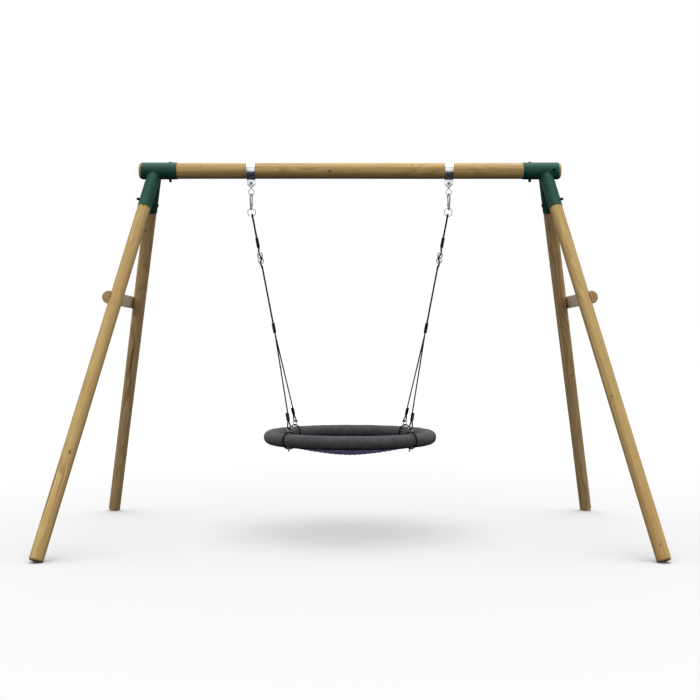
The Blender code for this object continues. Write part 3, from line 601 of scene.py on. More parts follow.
def swept(points, radius, sides=14, closed=False, shape=None, tip=0.0, smooth_angle=40):
    """A tube along evenly spaced points.  shape(along, angle) gives its radius, tip rounds its ends."""
    points = np.array(points, float)
    tangents, normals, others = frames_along(points, closed)
    steps = np.linalg.norm(np.diff(points, axis=0), axis=1)
    along = np.concatenate([[0], np.cumsum(steps)])
    angle = np.arange(sides) * math.tau / sides
    radii = shape(along[:, None], angle[None, :]) if shape else np.full((len(points), sides), radius)
    rows = [(points[i], radii[i], i) for i in range(len(points))]
    if not closed:
        bends = [math.radians(degrees) for degrees in (80, 55, 28)]
        lead = [(math.cos(bend), math.sin(bend) * tip) for bend in bends]
        starts = [(points[0] - tangents[0] * push, radii[0] * share, 0) for share, push in lead]
        stops = [(points[-1] + tangents[-1] * push, radii[-1] * share, -1) for share, push in lead[::-1]]
        rows = starts + rows + stops
    cos, sin = np.cos(angle)[:, None], np.sin(angle)[:, None]
    verts = []
    laid = []
    for centre, row, i in rows:
        reach = row[:, None]
        verts.append(centre + (normals[i] * cos + others[i] * sin) * reach)
        laid.append(np.concatenate([np.full((sides, 1), along[i]), cos * reach, sin * reach], 1))
    verts = np.concatenate(verts)
    laid = np.concatenate(laid)
    faces = grid_faces(len(rows), sides, closed)
    if not closed:
        ends = [points[0] - tangents[0] * tip, points[-1] + tangents[-1] * tip]
        first = len(verts)
        verts = np.concatenate([verts, ends])
        laid = np.concatenate([laid, [(along[0], 0, 0), (along[-1], 0, 0)]])
        last_row = (len(rows) - 1) * sides
        faces += [(k, first, (k + 1) % sides) for k in range(sides)]
        faces += [(last_row + (k + 1) % sides, first + 1, last_row + k) for k in range(sides)]
    mesh = mesh_from(verts, faces, smooth_angle)
    keep_laid(mesh, laid)
    return mesh


def braid(radius, strands, length, depth=0.12):
    """The radius of a braided rope: yarns cross in two directions, over and under."""

    def shape(along, angle):
        u = strands * angle / math.tau + along / length
        v = strands * angle / math.tau - along / length
        across = np.sin(math.pi * (u % 1))
        other = np.sin(math.pi * (v % 1))
        over = (np.floor(u) + np.floor(v)) % 2 < 1
        high = np.where(over, across**0.6 * (0.5 + 0.5 * other), other**0.6 * (0.5 + 0.5 * across))
        return radius * (1 - depth + depth * high)

    return shape


def twisted(radius, strands, lay, depth=0.2):
    """The radius of a laid rope of round strands."""

    def shape(along, angle):
        turn = strands / 2 * (angle + math.tau * along / lay)
        return radius * (1 - depth + depth * np.abs(np.cos(turn)))

    return shape


# ---- routes, as in the CAD source ----------------------------------------------------------------
def belt(circles, step):
    """The closed outline of a belt round (x, y, radius) circles, listed anticlockwise."""
    points = []
    count = len(circles)
    headings = []
    for i in range(count):
        ax, ay, ar = circles[i]
        bx, by, br = circles[(i + 1) % count]
        lean = math.asin((ar - br) / math.hypot(bx - ax, by - ay))
        headings.append(math.atan2(by - ay, bx - ax) - math.pi / 2 + lean)
    for i in range(count):
        x, y, radius = circles[i]
        begin = headings[i - 1]
        turn = (headings[i] - begin) % math.tau
        steps = max(2, round(turn / step))
        for k in range(steps + 1):
            angle = begin + turn * k / steps
            points.append((x + radius * math.cos(angle), y + radius * math.sin(angle)))
    return points


def eased(keys, at):
    """A value that runs smoothly from one (place, value) key to the next, level at each."""
    for (a, low), (b, high) in zip(keys, keys[1:]):
        if at <= b:
            share = max(0.0, (at - a) / (b - a))
            return low + (high - low) * (1 - math.cos(math.pi * share)) / 2
    return keys[-1][1]


def eye(centre, along, across, radius, neck, offset, tail, steps=12):
    """The open eye of a rope round a bar: up one strand from its tail, round, and to the neck."""
    keys = [(0.0, radius), (neck, offset)]
    stations = [tail, neck, neck * 0.75, neck * 0.5, neck * 0.25]
    points = [centre + along * s - across * eased(keys, s) for s in stations]
    for k in range(steps + 1):
        angle = math.pi * k / steps
        points.append(centre - across * radius * math.cos(angle) - along * radius * math.sin(angle))
    points += [centre + along * s + across * eased(keys, s) for s in reversed(stations[1:])]
    return points


def leg_line(side, front):
    """Where a leg's axis meets the beam's, and the direction down the leg."""
    top = Vector((side * LEG_TOP.x, 0, LEG_TOP.z))
    foot = Vector((side * LEG_FOOT.x, front * LEG_FOOT.y, 0))
    return top, (foot - top).normalized()


def outward(side):
    """The direction square to both legs of one side, away from the middle."""
    lean = math.atan2(LEG_FOOT.x - LEG_TOP.x, BEAM_HEIGHT)
    return Vector((side * math.cos(lean), 0, math.sin(lean)))


def rope_line(side):
    """The top of a rope set at the sway's axis, and the direction down its main rope."""
    top = Vector((side * HANGER_X, 0, SWAY_Z))
    bottom = Vector((side * NEST_HALF_X, 0, HANG_Z))
    return top, (bottom - top).normalized()


def corner_way(side, front):
    """The level direction from the nest's axis to one of its hanging points."""
    return Vector((side * NEST_HALF_X, front * NEST_HALF_Y, 0)).normalized()


def weave_way(side, down):
    """The axis of the adjuster's rings, along which the rope weaves through them."""
    return Matrix.Rotation(side * ADJUSTER_TURN, 3, down) @ Y


def rail_centre(side):
    """The middle of a side rail's flat face, on the outside of the legs."""
    share = (BEAM_HEIGHT - RAIL_HEIGHT) / BEAM_HEIGHT
    centre = Vector((side * (LEG_TOP.x + (LEG_FOOT.x - LEG_TOP.x) * share), 0, RAIL_HEIGHT))
    return centre + outward(side) * (LEG_RADIUS + FIT)


def top_ring_centre(side):
    """The middle of the ring that hangs in the carabiner."""
    top, down = rope_line(side)
    return top + down * (RING_RADIUS - RING_WIRE - HOOK_WIRE - HOOK_PLAY)


def main_rope_route(side):
    """Eye on the top ring, through the top ferrule, woven through the adjuster, to the split ferrule."""
    top, down = rope_line(side)
    strand = MAIN_ROPE + FIT / 2
    bar_at = (top_ring_centre(side) + down * RING_RADIUS - top).length - 0.001
    centre = top + down * bar_at
    tail = TOP_FERRULE[1] - bar_at - TAIL_SHORT
    points = eye(centre, down, Y, RING_WIRE + MAIN_ROPE + TOP_EYE_PLAY, TOP_NECK, strand, tail)
    weave = MAIN_ROPE + ADJUSTER_WIRE + WEAVE_PLAY
    last = TOP_FERRULE[1]
    out = weave_way(side, down)
    first = ADJUSTER_AT - ADJUSTER_PITCH
    end = ADJUSTER_AT + ADJUSTER_PITCH + WEAVE_END
    strands = [(last, strand), (first, 0.0)]
    weaves = [(last, 0.0), (first, weave), (ADJUSTER_AT, -weave)]
    weaves += [(ADJUSTER_AT + ADJUSTER_PITCH, weave), (end, 0.0)]
    stops = 16
    for k in range(stops + 1):
        at = last + (end - last) * k / stops
        points.append(top + down * at + Y * eased(strands, at) + out * eased(weaves, at))
    points.append(top + down * (ROPES_MEET - FIT))
    return points


def lower_rope_line(side, front):
    """The shackle's bar, the direction up the rope, and the way across from it to the tail."""
    top, down = rope_line(side)
    bar = Vector((side * NEST_HALF_X, front * NEST_HALF_Y, HANG_Z))
    mouth = top + down * (SPLIT_FERRULE[1] + ROPE_SPREAD) + Y * front * (LOWER_ROPE + FIT / 2)
    up = (mouth - bar).normalized()
    radial = corner_way(side, front)
    across = (radial - up * radial.dot(up)).normalized()
    return bar + up * EYE_LIFT, up, across, mouth


def lower_rope_route(side, front):
    """From inside the split ferrule down to the eye on its shackle."""
    top, down = rope_line(side)
    strand = LOWER_ROPE + FIT / 2
    centre, up, across, mouth = lower_rope_line(side, front)
    start = top + down * (ROPES_MEET + FIT) + Y * front * strand
    radius = SHACKLE_WIRE + LOWER_ROPE + EYE_PLAY
    points = eye(centre, up, -across, radius, LOWER_FERRULE[0] - 0.004, strand, LOWER_FERRULE[1] - 0.006)
    leave = centre + up * (LOWER_FERRULE[1] + 0.004) - across * strand
    points.append(leave)
    points += rounded_corner(leave, mouth, start, 0.011)
    points.append(start)
    return points


# ---- studio --------------------------------------------------------------------------------------
def make_camera():
    """The camera fitted to the photo: level, with a small shift."""
    data = bpy.data.cameras.new("camera")
    data.sensor_width = 36.0
    data.lens = CAMERA_LENS
    data.shift_y = CAMERA_SHIFT_Y
    data.clip_end = 200.0
    camera = bpy.data.objects.new("camera", data)
    camera.location = CAMERA_PLACE
    camera.rotation_euler = (math.pi / 2, 0, 0)
    bpy.context.scene.collection.objects.link(camera)
    bpy.context.scene.camera = camera


def sun(name, strength, degrees, towards):
    """A distant lamp as wide in the sky as the given angle."""
    data = bpy.data.lights.new(name, "SUN")
    data.energy = strength
    data.angle = math.radians(degrees)
    lamp = bpy.data.objects.new(name, data)
    lamp.rotation_mode = "QUATERNION"
    lamp.rotation_quaternion = Vector(towards).to_track_quat("-Z", "Y")
    bpy.context.scene.collection.objects.link(lamp)


def make_world():
    """Soft light from above that fades below the horizon; the camera itself sees white paper."""
    world = bpy.data.worlds.new("studio")
    bpy.context.scene.world = world
    n = Nodes(world)
    up = n.split(n.node("TexCoord", {}, "Generated"))[2]
    blues = [GROUND_COOL if position < 0.5 else 1.0 for position, _ in SKY_STOPS]
    stops = [(position, (level, level, level * blue)) for (position, level), blue in zip(SKY_STOPS, blues)]
    sky = n.ramp(n.math("MULTIPLY_ADD", up, 0.5, 0.5), stops)
    paper = n.mix(n.node("LightPath", {}, "Is Camera Ray"), sky, (1, 1, 1))
    n.put(n.tree.nodes["Background"].inputs["Color"], paper)


def make_floor():
    """White paper, painted paler far away as painted light, that throws no light back on the pieces."""
    s = Shader("studio_floor", 0.95, specular=0.0)
    # painted light: the floor is made paler from 1.5 m to 7 m out
    far = s.band(s.vector("LENGTH", s.place()), 1.5, 7.0)
    look = s.finish(s.mix(far, (FLOOR_NEAR,) * 3, (FLOOR_FAR_PAINTED_LIGHT,) * 3))
    h = FLOOR_HALF
    mesh = mesh_from([(-h, -h, 0), (h, -h, 0), (h, h, 0), (-h, h, 0)], [(0, 1, 2, 3)])
    floor = bpy.data.objects.new("studio_floor", mesh)
    mesh.materials.append(look)
    bpy.context.scene.collection.objects.link(floor)
    floor.visible_diffuse = False
    floor.visible_glossy = False


def make_studio():
    bpy.context.scene.view_settings.view_transform = "Standard"
    sun("key_light", strength=2.75, degrees=70, towards=(0.0, 0.04, -1.0))
    sun("front_fill", strength=0.5, degrees=50, towards=(0.0, 1.0, -0.15))
    make_world()
    make_floor()


# ---- ropes ---------------------------------------------------------------------------------------
ROPE_STEP = 0.001
MAIN_LAY = 0.0052  # length of one strand's step along the rope
THIN_LAY = 0.0046


def rope_piece(node, ending, route, radius, look, sides=24, strands=6, lay=THIN_LAY, tip=0.0):
    """A braided rope along an evenly spaced route."""
    mesh = swept(route, radius, sides, shape=braid(radius, strands, lay), tip=tip)
    rope = piece_of(node, ending, mesh, look)


def ropes(look):
    for side in SIDES:
        node = f"main_rope_{SIDE_NAME[side]}"
        route = resampled(main_rope_route(side), ROPE_STEP)
        rope_piece(node, "braid", route, MAIN_ROPE, look, sides=32, strands=8, lay=MAIN_LAY)
    for side, front in CORNERS:
        node = f"lower_rope_{CORNER_NAME[side, front]}"
        route = resampled(lower_rope_route(side, front), ROPE_STEP)
        rope_piece(node, "braid", route, LOWER_ROPE, look)


# ---- timber --------------------------------------------------------------------------------------
def pole_mesh(radius, length, cut, seed, flat=False):
    """A planed round pole along +Z from the origin, slightly out of true; flat leaves a half round."""
    sides = 72
    spacing = 0.02
    dent_depth = 0.0007
    edge = [math.pi / 2 * k / 6 for k in range(7)]
    rows = [(radius - cut + cut * math.sin(b), cut - cut * math.cos(b)) for b in edge]
    count = round((length - 2 * cut) / spacing)
    rows += [(radius, cut + (length - 2 * cut) * k / count) for k in range(1, count)]
    rows += [(r, length - z) for r, z in rows[6::-1]]
    if flat:
        steps = sides // 2
        arc = [(math.cos(math.pi * k / steps), math.sin(math.pi * k / steps)) for k in range(steps + 1)]
        corners = [(x * radius, y * radius) for x, y in arc]
        outline = [tuple(p / radius) for p in rounded(corners, 0.004, 2)]
    else:
        outline = circle(sides)
    verts = []
    for r, z in rows:
        for ux, uy in outline:
            spot = Vector((ux * radius * 9, uy * radius * 9, z * 1.6 + seed * 10))
            reach = r + noise.noise(spot) * dent_depth - 0.0004
            verts.append((ux * reach, uy * reach, z))
    middle = 0.4 * radius if flat else 0.0
    mesh = capped(verts, len(outline), [(0.0, middle, 0.0), (0.0, middle, length)], 40)
    keep_laid(mesh, [vert.co for vert in mesh.vertices])
    return mesh


def knots_for(seed, length, count):
    """Places, turns in degrees and sizes of the knots along a pole."""
    rng = np.random.default_rng(seed)
    places = (np.arange(count) + rng.uniform(0.2, 0.8, count)) * length / count
    return [(float(p), float(rng.uniform(0, 360)), float(rng.uniform(0.005, 0.009))) for p in places]


def timber_piece(node, mesh, place, seed, tone_and_painted_fill, knots, radius, flat=False):
    """A pole put in its place, with its own pine."""
    mesh.transform(place)
    for vert in mesh.vertices:
        vert.co.z = max(vert.co.z, 0.0)
    look = pine(f"pine_{node}", seed, tone_and_painted_fill, knots, radius, flat)
    piece_of(node, "timber", mesh, look)


def crossbeam():
    place = pose_along((-BEAM_HALF, 0, BEAM_HEIGHT), X)
    # the local angle of the beam's front, from which its knots are placed
    front = place.to_3x3().inverted() @ -Y
    ahead = math.degrees(math.atan2(front.y, front.x))
    knots = [
        (BEAM_HALF - 0.117, ahead + 8, 0.0085), (BEAM_HALF - 0.062, ahead + 35, 0.0045),
        (BEAM_HALF + 0.36, ahead - 40, 0.006), (BEAM_HALF - 0.62, ahead + 100, 0.007),
        (BEAM_HALF + 0.80, ahead + 170, 0.007), (BEAM_HALF - 0.86, ahead - 30, 0.004),
    ]
    mesh = pole_mesh(BEAM_RADIUS, 2 * BEAM_HALF, EDGE_ROUND, 1)
    timber_piece("crossbeam", mesh, place, 1.0, (1.0, 1.0, 1.0), knots, BEAM_RADIUS)


def legs():
    """Four legs, their feet cut level with the ground."""
    for index, (side, front) in enumerate(CORNERS):
        top, down = leg_line(side, front)
        sink = (LEG_RADIUS - EDGE_ROUND) * math.hypot(down.x, down.y) - 0.004
        length = (BEAM_HEIGHT - sink) / -down.z - LEG_START
        place = pose_along(top + down * LEG_START, down)
        node = f"leg_{CORNER_NAME[side, front]}"
        mesh = pole_mesh(LEG_RADIUS, length, EDGE_ROUND, index + 2)
        # the rear legs get painted fill light: their colour is lifted and cooled
        tone_and_painted_fill = REAR_LEG_PAINTED_FILL if front > 0 else (1.0, 1.0, 1.0)
        timber_piece(node, mesh, place, 2.0 + index, tone_and_painted_fill, knots_for(20 + index, length, 6), LEG_RADIUS)


def side_rails():
    """Half-round rails, flat against the outside of the legs."""
    for side in SIDES:
        out = outward(side)
        basis = Matrix((out.cross(Y), out, Y)).transposed()
        place = Matrix.Translation(rail_centre(side) - Y * RAIL_HALF) @ basis.to_4x4()
        node = f"side_rail_{SIDE_NAME[side]}"
        mesh = pole_mesh(RAIL_RADIUS, 2 * RAIL_HALF, 0.005, 9 + side, flat=True)
        knots = knots_for(40 + side, 0.7, 2)
        timber_piece(node, mesh, place, 9.0 + side, (1.0, 0.98, 1.0), knots, RAIL_RADIUS, flat=True)


# ---- steel brackets ------------------------------------------------------------------------------
def tube_profile(inner, outer, start, end, lip):
    """The closed section of a tube with rounded rims."""
    corners = [(inner, start), (outer, start), (outer, end), (inner, end)]
    return [(p.x, p.y) for p in rounded(corners, lip, 3)]


def sleeve_axes(down, side):
    """Two unit vectors square to a leg's axis: outward, and round from it."""
    out = outward(side)
    first = (out - down * out.dot(down)).normalized()
    return first, down.cross(first)


def leg_sleeve_start(side, front, angle, radius):
    """How far down the leg's axis its sleeve begins at an angle: at the beam's sleeve or its partner."""
    down = leg_line(side, front)[1]
    first, second = sleeve_axes(down, side)
    arm = (first * math.cos(angle) + second * math.sin(angle)) * radius
    a = down.y**2 + down.z**2
    b = arm.y * down.y + arm.z * down.z
    c = arm.y**2 + arm.z**2 - (BEAM_RADIUS + SLEEVE_WALL) ** 2
    root = b * b - a * c
    meets_beam = (-b + math.sqrt(max(root, 0.0))) / a
    meets_partner = -arm.y / down.y
    return max(meets_beam, meets_partner), meets_partner > meets_beam, arm


def leg_sleeve_mesh(side, front):
    """A leg sleeve coped to the beam's sleeve, and the weld beads round its top."""
    top, down = leg_line(side, front)
    outer = LEG_RADIUS + LEG_SLEEVE_WALL
    inner = LEG_RADIUS + FIT
    sides = 96
    lip = 0.0009
    sunk = 0.0015  # the coped end starts this far inside the weld
    tops = [leg_sleeve_start(side, front, angle, outer) for angle in angles(sides)]
    verts = []
    shares = (0.0, 0.1, 0.25, 0.5, 0.75, 0.95)
    for share in shares:
        for start, _, arm in tops:
            at = start - sunk + (LEG_SLEEVE_END - lip - start) * share
            verts.append(top + arm + down * at)
    rim = [
        (outer, LEG_SLEEVE_END - lip), (outer - lip, LEG_SLEEVE_END),
        (inner + lip, LEG_SLEEVE_END), (inner, LEG_SLEEVE_END - lip),
    ]
    for radius, at in rim:
        verts += [top + arm * (radius / outer) + down * at for _, _, arm in tops]
    verts += [top + arm * (inner / outer) + down * (start - sunk) for start, _, arm in tops]
    rows = len(shares) + len(rim) + 1
    return mesh_from(verts, grid_faces(rows, sides, closed_rows=True), 30)


def weld_bead(side, front):
    """The bead where a leg sleeve meets the beam's sleeve, a little lumpy as a welder leaves it."""
    top, down = leg_line(side, front)
    outer = LEG_RADIUS + LEG_SLEEVE_WALL
    ring = [leg_sleeve_start(side, front, angle, outer) for angle in angles(360)]
    first = next(k for k in range(len(ring)) if ring[k][1] and not ring[k - 1][1])
    ring = ring[first:] + ring[:first]
    lines = [[top + arm + down * start for start, partner, arm in ring if not partner]]
    if front > 0:
        lines.append([top + arm + down * start for start, partner, arm in ring if partner])

    def shape(along, angle):
        ripple = 0.5 + 0.5 * np.cos(math.tau * along / 0.0042)
        return (0.0017 + 0.00035 * ripple) * np.ones_like(angle)

    return [swept(resampled(line, 0.001), 0.002, 10, shape=shape, tip=0.001) for line in lines]


def brackets(look):
    """Each corner bracket: a sleeve on the beam and two leg sleeves welded to it."""
    for side in SIDES:
        inner, outer = BEAM_RADIUS + FIT, BEAM_RADIUS + SLEEVE_WALL
        profile = tube_profile(inner, outer, SLEEVE_INNER_X, SLEEVE_OUTER_X, 0.0012)
        barrel = turned(profile, 128, closed=True, smooth_angle=30)
        barrel.transform(pose_along((0, 0, BEAM_HEIGHT), X * side))
        meshes = [barrel]
        for front in FRONTS:
            meshes.append(leg_sleeve_mesh(side, front))
            meshes += weld_bead(side, front)
        piece_of(f"corner_bracket_{SIDE_NAME[side]}", "steel", joined(meshes), look)


def cap_profile():
    """A domed plastic cap over a nut, on its washer flange."""
    dome = CAP_HEIGHT - CAP_RADIUS
    neck, body = CAP_RADIUS * 0.90, CAP_RADIUS * 0.97
    profile = [(0.0, FIT), (CAP_RADIUS, FIT), (CAP_RADIUS, 0.0016)]
    profile += [(neck, 0.0024), (neck, 0.0045), (body, 0.0058), (body, dome)]
    for k in range(1, 12):
        bend = math.pi / 2 * k / 12
        profile.append((body * math.cos(bend), dome + CAP_RADIUS * math.sin(bend)))
    return profile + [(0.0, CAP_HEIGHT)]


def head_profile(depth):
    """A cup-square bolt's domed head on the far side, pointing the other way."""
    base = -depth - 2 * FIT
    edge = 0.0008
    profile = [(0.0, base), (HEAD_RADIUS, base), (HEAD_RADIUS, base - edge)]
    for k in range(1, 9):
        bend = math.pi / 2 * k / 9
        rise = (HEAD_HEIGHT - edge) * math.sin(bend)
        profile.append((HEAD_RADIUS * math.cos(bend), base - edge - rise))
    return profile + [(0.0, base - HEAD_HEIGHT)]


def frame_fasteners(cap_look, steel_look):
    """The through bolts of the brackets: a cap on one side, a domed head on the other."""
    below = BEAM_HEIGHT - BEAM_RADIUS - SLEEVE_WALL - FIT
    reach = BEAM_RADIUS + SLEEVE_WALL + FIT
    beam_depth = 2 * reach
    leg_reach = LEG_RADIUS + LEG_SLEEVE_WALL + 2 * FIT
    leg_depth = 2 * leg_reach
    seats = []
    for side in SIDES:
        label = SIDE_NAME[side]
        upright = Vector((side * UPRIGHT_BOLT_X, 0, below))
        seats.append((f"beam_bolt_upright_{label}", upright, -Z, beam_depth))
        level = Vector((side * LEVEL_BOLT_X, -side * reach, BEAM_HEIGHT))
        seats.append((f"beam_bolt_level_{label}", level, -Y * side, beam_depth))
    for side, front in CORNERS:
        top, down = leg_line(side, front)
        out = outward(side)
        start = top + down * LEG_BOLT_AT + out * leg_reach
        seats.append((f"leg_bolt_{CORNER_NAME[side, front]}", start, out, leg_depth))
    for node, start, direction, depth in seats:
        cap = turned(cap_profile())
        head = turned(head_profile(depth))
        for mesh in (cap, head):
            mesh.transform(pose_along(start, direction))
        piece_of(node, "cap", cap, cap_look)
        piece(f"{node}_head", head, steel_look, body="frame")


SCREW_RADIUS = 0.0048


def screw_mesh():
    """A countersunk screw head with a six-lobed recess, flush with the timber."""
    sides = 48
    radius = SCREW_RADIUS
    rows = [(radius, -0.003), (radius, 0.0), (radius * 0.93, 0.0006), (0.0026, 0.0008), (0.0024, -0.0016)]
    verts = []
    for index, (r, z) in enumerate(rows):
        for angle in angles(sides):
            lobe = 1 + 0.17 * math.cos(6 * angle) if index >= 3 else 1.0
            verts.append((r * lobe * math.cos(angle), r * lobe * math.sin(angle), z))
    return capped(verts, sides, [(0, 0, rows[end][1]) for end in (0, -1)], 30)


def rail_screws(look):
    """One screw through the rail into each leg, its head a little sunk in the round face."""
    for side, front in CORNERS:
        out = outward(side)
        share = (BEAM_HEIGHT - RAIL_HEIGHT) / BEAM_HEIGHT
        spot = rail_centre(side) + out * (RAIL_RADIUS - 0.0012) + Y * front * LEG_FOOT.y * share
        mesh = screw_mesh()
        mesh.transform(pose_along(spot, out))
        piece(f"rail_screw_{CORNER_NAME[side, front]}", mesh, look, body="frame")


# ---- hangers -------------------------------------------------------------------------------------
WIRE_STEP = 0.0012
WASHER = 0.0012  # its thickness
HEX_ACROSS = 0.0125
HEX_HEIGHT = 0.0046
THREAD_DEPTH = 0.00035


def strap_path():
    """The middle line of the strap in (y, z): up one ear, round the beam, down the other ear."""
    middle = BEAM_RADIUS + FIT + 0.0009 + STRAP_THICK / 2
    half = (EAR_GAP + STRAP_THICK) / 2
    begin = math.asin(half / middle)
    turn = 0.006  # where the ear bends into the arc
    shoulder = BEAM_HEIGHT - middle * math.cos(begin)
    points = [(half, EAR_BOTTOM + (shoulder - turn - EAR_BOTTOM) * k / 14) for k in range(15)]
    bend = begin + turn / middle
    start = Vector((half, shoulder - turn))
    end = Vector((middle * math.sin(bend), BEAM_HEIGHT - middle * math.cos(bend)))
    corner = Vector((half, shoulder))
    for k in range(1, 6):
        s = k / 6
        points.append(tuple(start * (1 - s) ** 2 + corner * 2 * s * (1 - s) + end * s**2))
    steps = 72
    for k in range(steps + 1):
        angle = bend + (math.tau - 2 * bend) * k / steps
        points.append((middle * math.sin(angle), BEAM_HEIGHT - middle * math.cos(angle)))
    return points + [(-y, z) for y, z in points[19::-1]]


def strap_mesh(x):
    """The strap: a flat bar swept round the beam, its ears clipped to points."""
    path = [np.array(p) for p in strap_path()]
    count = len(path)
    half = STRAP_THICK / 2
    verts = []
    for i in range(count):
        before, after = path[max(i - 1, 0)], path[min(i + 1, count - 1)]
        along = (after - before) / np.linalg.norm(after - before)
        across = np.array((along[1], -along[0]))
        above = path[i][1] - EAR_BOTTOM
        near_end = i < 15 or i >= count - 15
        clip = max(0.0, EAR_CLIP - above) if near_end else 0.0
        wide = STRAP_WIDTH / 2 - clip
        for p in rounded([(-wide, -half), (wide, -half), (wide, half), (-wide, half)], 0.0007, 2):
            y, z = path[i] + across * p.y
            verts.append((x + p.x, y, z))
    sides = len(verts) // count
    faces = grid_faces(count, sides)
    faces.append(tuple(range(sides))[::-1])
    faces.append(tuple(range((count - 1) * sides, count * sides)))
    return mesh_from(verts, faces, 30)


def hex_mesh(across, height, dome=0.0):
    """A hexagon nut or bolt head with chamfered corners, from z 0 to its height."""
    sides = 72
    corner_radius = across / math.sqrt(3)
    flat = across / 2
    verts = []
    rows = [(0.0, 0.90), (0.0006, 1.0), (height - 0.0008, 1.0), (height, 0.88)]
    for z, limit in rows:
        for angle in angles(sides):
            inside = (angle % (math.pi / 3)) - math.pi / 6
            reach = min(flat / math.cos(inside), corner_radius * limit)
            verts.append((reach * math.cos(angle), reach * math.sin(angle), z))
    return capped(verts, sides, [(0, 0, 0.0), (0, 0, height + dome)], 25)


def hanger_bolt_mesh(x):
    """Hex head, washers, shank, lock nut and the end of the thread, along Y through both ears."""
    reach = EAR_GAP / 2 + STRAP_THICK + FIT
    washer = tube_profile(0.0043, 0.0088, 0.0, WASHER, 0.0003)
    collar = [(0.0, 0.0), (0.0056, 0.0), (0.0054, 0.0014), (0.0046, 0.0018), (0.0, 0.0018)]
    thread_end = [(0.0, -0.02)]
    for k in range(28):
        thread_end.append((BOLT_RADIUS - (THREAD_DEPTH if k % 2 else 0.0), -0.012 + k * 0.0006))
    thread_end += [(BOLT_RADIUS * 0.8, 0.0052), (0.0, 0.0052)]
    placed = (
        (hex_mesh(HEX_ACROSS, HEX_HEIGHT, 0.0002), -reach - WASHER, -Y),
        (turned(washer, closed=True), -reach, -Y),
        (turned(washer, closed=True), reach, Y),
        (hex_mesh(HEX_ACROSS, HEX_HEIGHT), reach + WASHER, Y),
        (turned(collar), reach + 0.0052, Y),
        (turned(thread_end, 32), reach + 0.003, Y),
    )
    for mesh, y, way in placed:
        mesh.transform(pose_along((x, y, HANGER_BOLT_Z), way))
    return joined([mesh for mesh, _, _ in placed])


def link_route(side):
    """The wire of the 8-shaped link, crossing itself between its small loop and its ring."""
    top_z = HANGER_BOLT_Z + BOLT_RADIUS + HOOK_PLAY + LINK_WIRE - LINK_TOP_RADIUS
    lean = math.acos((LINK_TOP_RADIUS + LINK_RING_RADIUS) / (top_z - LINK_RING_Z))
    crossing_z = top_z - LINK_TOP_RADIUS / math.cos(lean)
    steps = 24
    path = []
    for centre, radius, way in ((top_z, LINK_TOP_RADIUS, 1), (LINK_RING_Z, LINK_RING_RADIUS, -1)):
        for k in range(steps + 1):
            angle = lean + (math.tau - 2 * lean) * k / steps
            apart = {0: -way, steps: way}.get(k, 0) * LINK_CROSSING / 3
            x = side * HANGER_X + radius * math.sin(angle)
            path.append(Vector((x, apart, centre - way * radius * math.cos(angle))))
        path.append(Vector((side * HANGER_X, way * LINK_CROSSING, crossing_z)))
    return path


def hangers(strap_look, wire_look, bolt_look):
    """Per side: the strap round the beam, its bolt, and the wire link that hangs on it."""
    for side in SIDES:
        label = SIDE_NAME[side]
        x = side * HANGER_X
        piece_of(f"hanger_strap_{label}", "steel", strap_mesh(x), strap_look)
        piece_of(f"hanger_bolt_{label}", "steel", hanger_bolt_mesh(x), bolt_look)
        route = resampled(link_route(side), WIRE_STEP, closed=True)
        mesh = swept(route, LINK_WIRE, 18, closed=True)
        piece_of(f"hanger_link_{label}", "wire", mesh, wire_look)


# ---- carabiners ----------------------------------------------------------------------------------
def hook_circles():
    """The heights of the middles of the hook's large and small bends."""
    big_z = SWING_Z + LINK_WIRE + HOOK_WIRE + HOOK_PLAY - HOOK_BIG_RADIUS
    return big_z, SWAY_Z + HOOK_SMALL_RADIUS


def gate_ends():
    """The gate's pin and the gate's tip."""
    big_z, small_z = hook_circles()
    lean = math.asin((HOOK_BIG_RADIUS - HOOK_SMALL_RADIUS) / (big_z - small_z))
    low = Vector((0, HOOK_SMALL_RADIUS * math.cos(lean), small_z - HOOK_SMALL_RADIUS * math.sin(lean)))
    high = Vector((0, HOOK_BIG_RADIUS * math.cos(lean), big_z - HOOK_BIG_RADIUS * math.sin(lean)))
    return low.lerp(high, 0.22), low.lerp(high, 0.93)


def carabiner_body(foot, tip):
    """The hook, from the gate's tip round both bends to the tongue at its foot."""
    big_z, small_z = hook_circles()
    outline = belt([(0, big_z, HOOK_BIG_RADIUS), (0, small_z, HOOK_SMALL_RADIUS)], math.radians(9))
    path = [Vector((0, y, z)) for y, z in outline]
    path = [tip + (path[0] - tip) * 0.1] + path + [path[-1].lerp(foot, 0.8)]
    route = resampled(path, WIRE_STEP)
    total = length_of(route)

    def shape(along, angle):
        # the last stretch is flattened into a tongue that fits between the gate's cheeks
        tongue = np.clip((along - (total - 0.009)) / 0.003, 0, 1)
        nose = np.clip((0.004 - along) / 0.004, 0, 1)
        flat = 1 - 0.5 * tongue * np.abs(np.cos(angle)) ** 2
        return HOOK_WIRE * flat * (1 - 0.12 * nose)

    return swept(route, HOOK_WIRE, 24, shape=shape, tip=0.0022)


def carabiner_gate(foot, tip):
    """The gate's bar with the two cheeks that hold it on its pin."""
    upward = (tip - foot).normalized()
    bar = resampled([foot.lerp(tip, share) for share in (0.20, 0.5, 0.97)], 0.0015)
    meshes = [swept(bar, GATE_RADIUS, 20, tip=0.002)]

    def shape(along, angle):
        return (0.0011 + 0.0018 * np.abs(np.sin(angle))) * np.ones_like(along)

    for flank in (-1, 1):
        cheek = [foot + X * flank * 0.0037 + upward * s for s in (-0.0025, 0.004, 0.0135)]
        line = resampled(cheek, 0.001)
        meshes.append(swept(line, 0.002, 16, shape=shape, tip=0.0015))
    return joined(meshes)


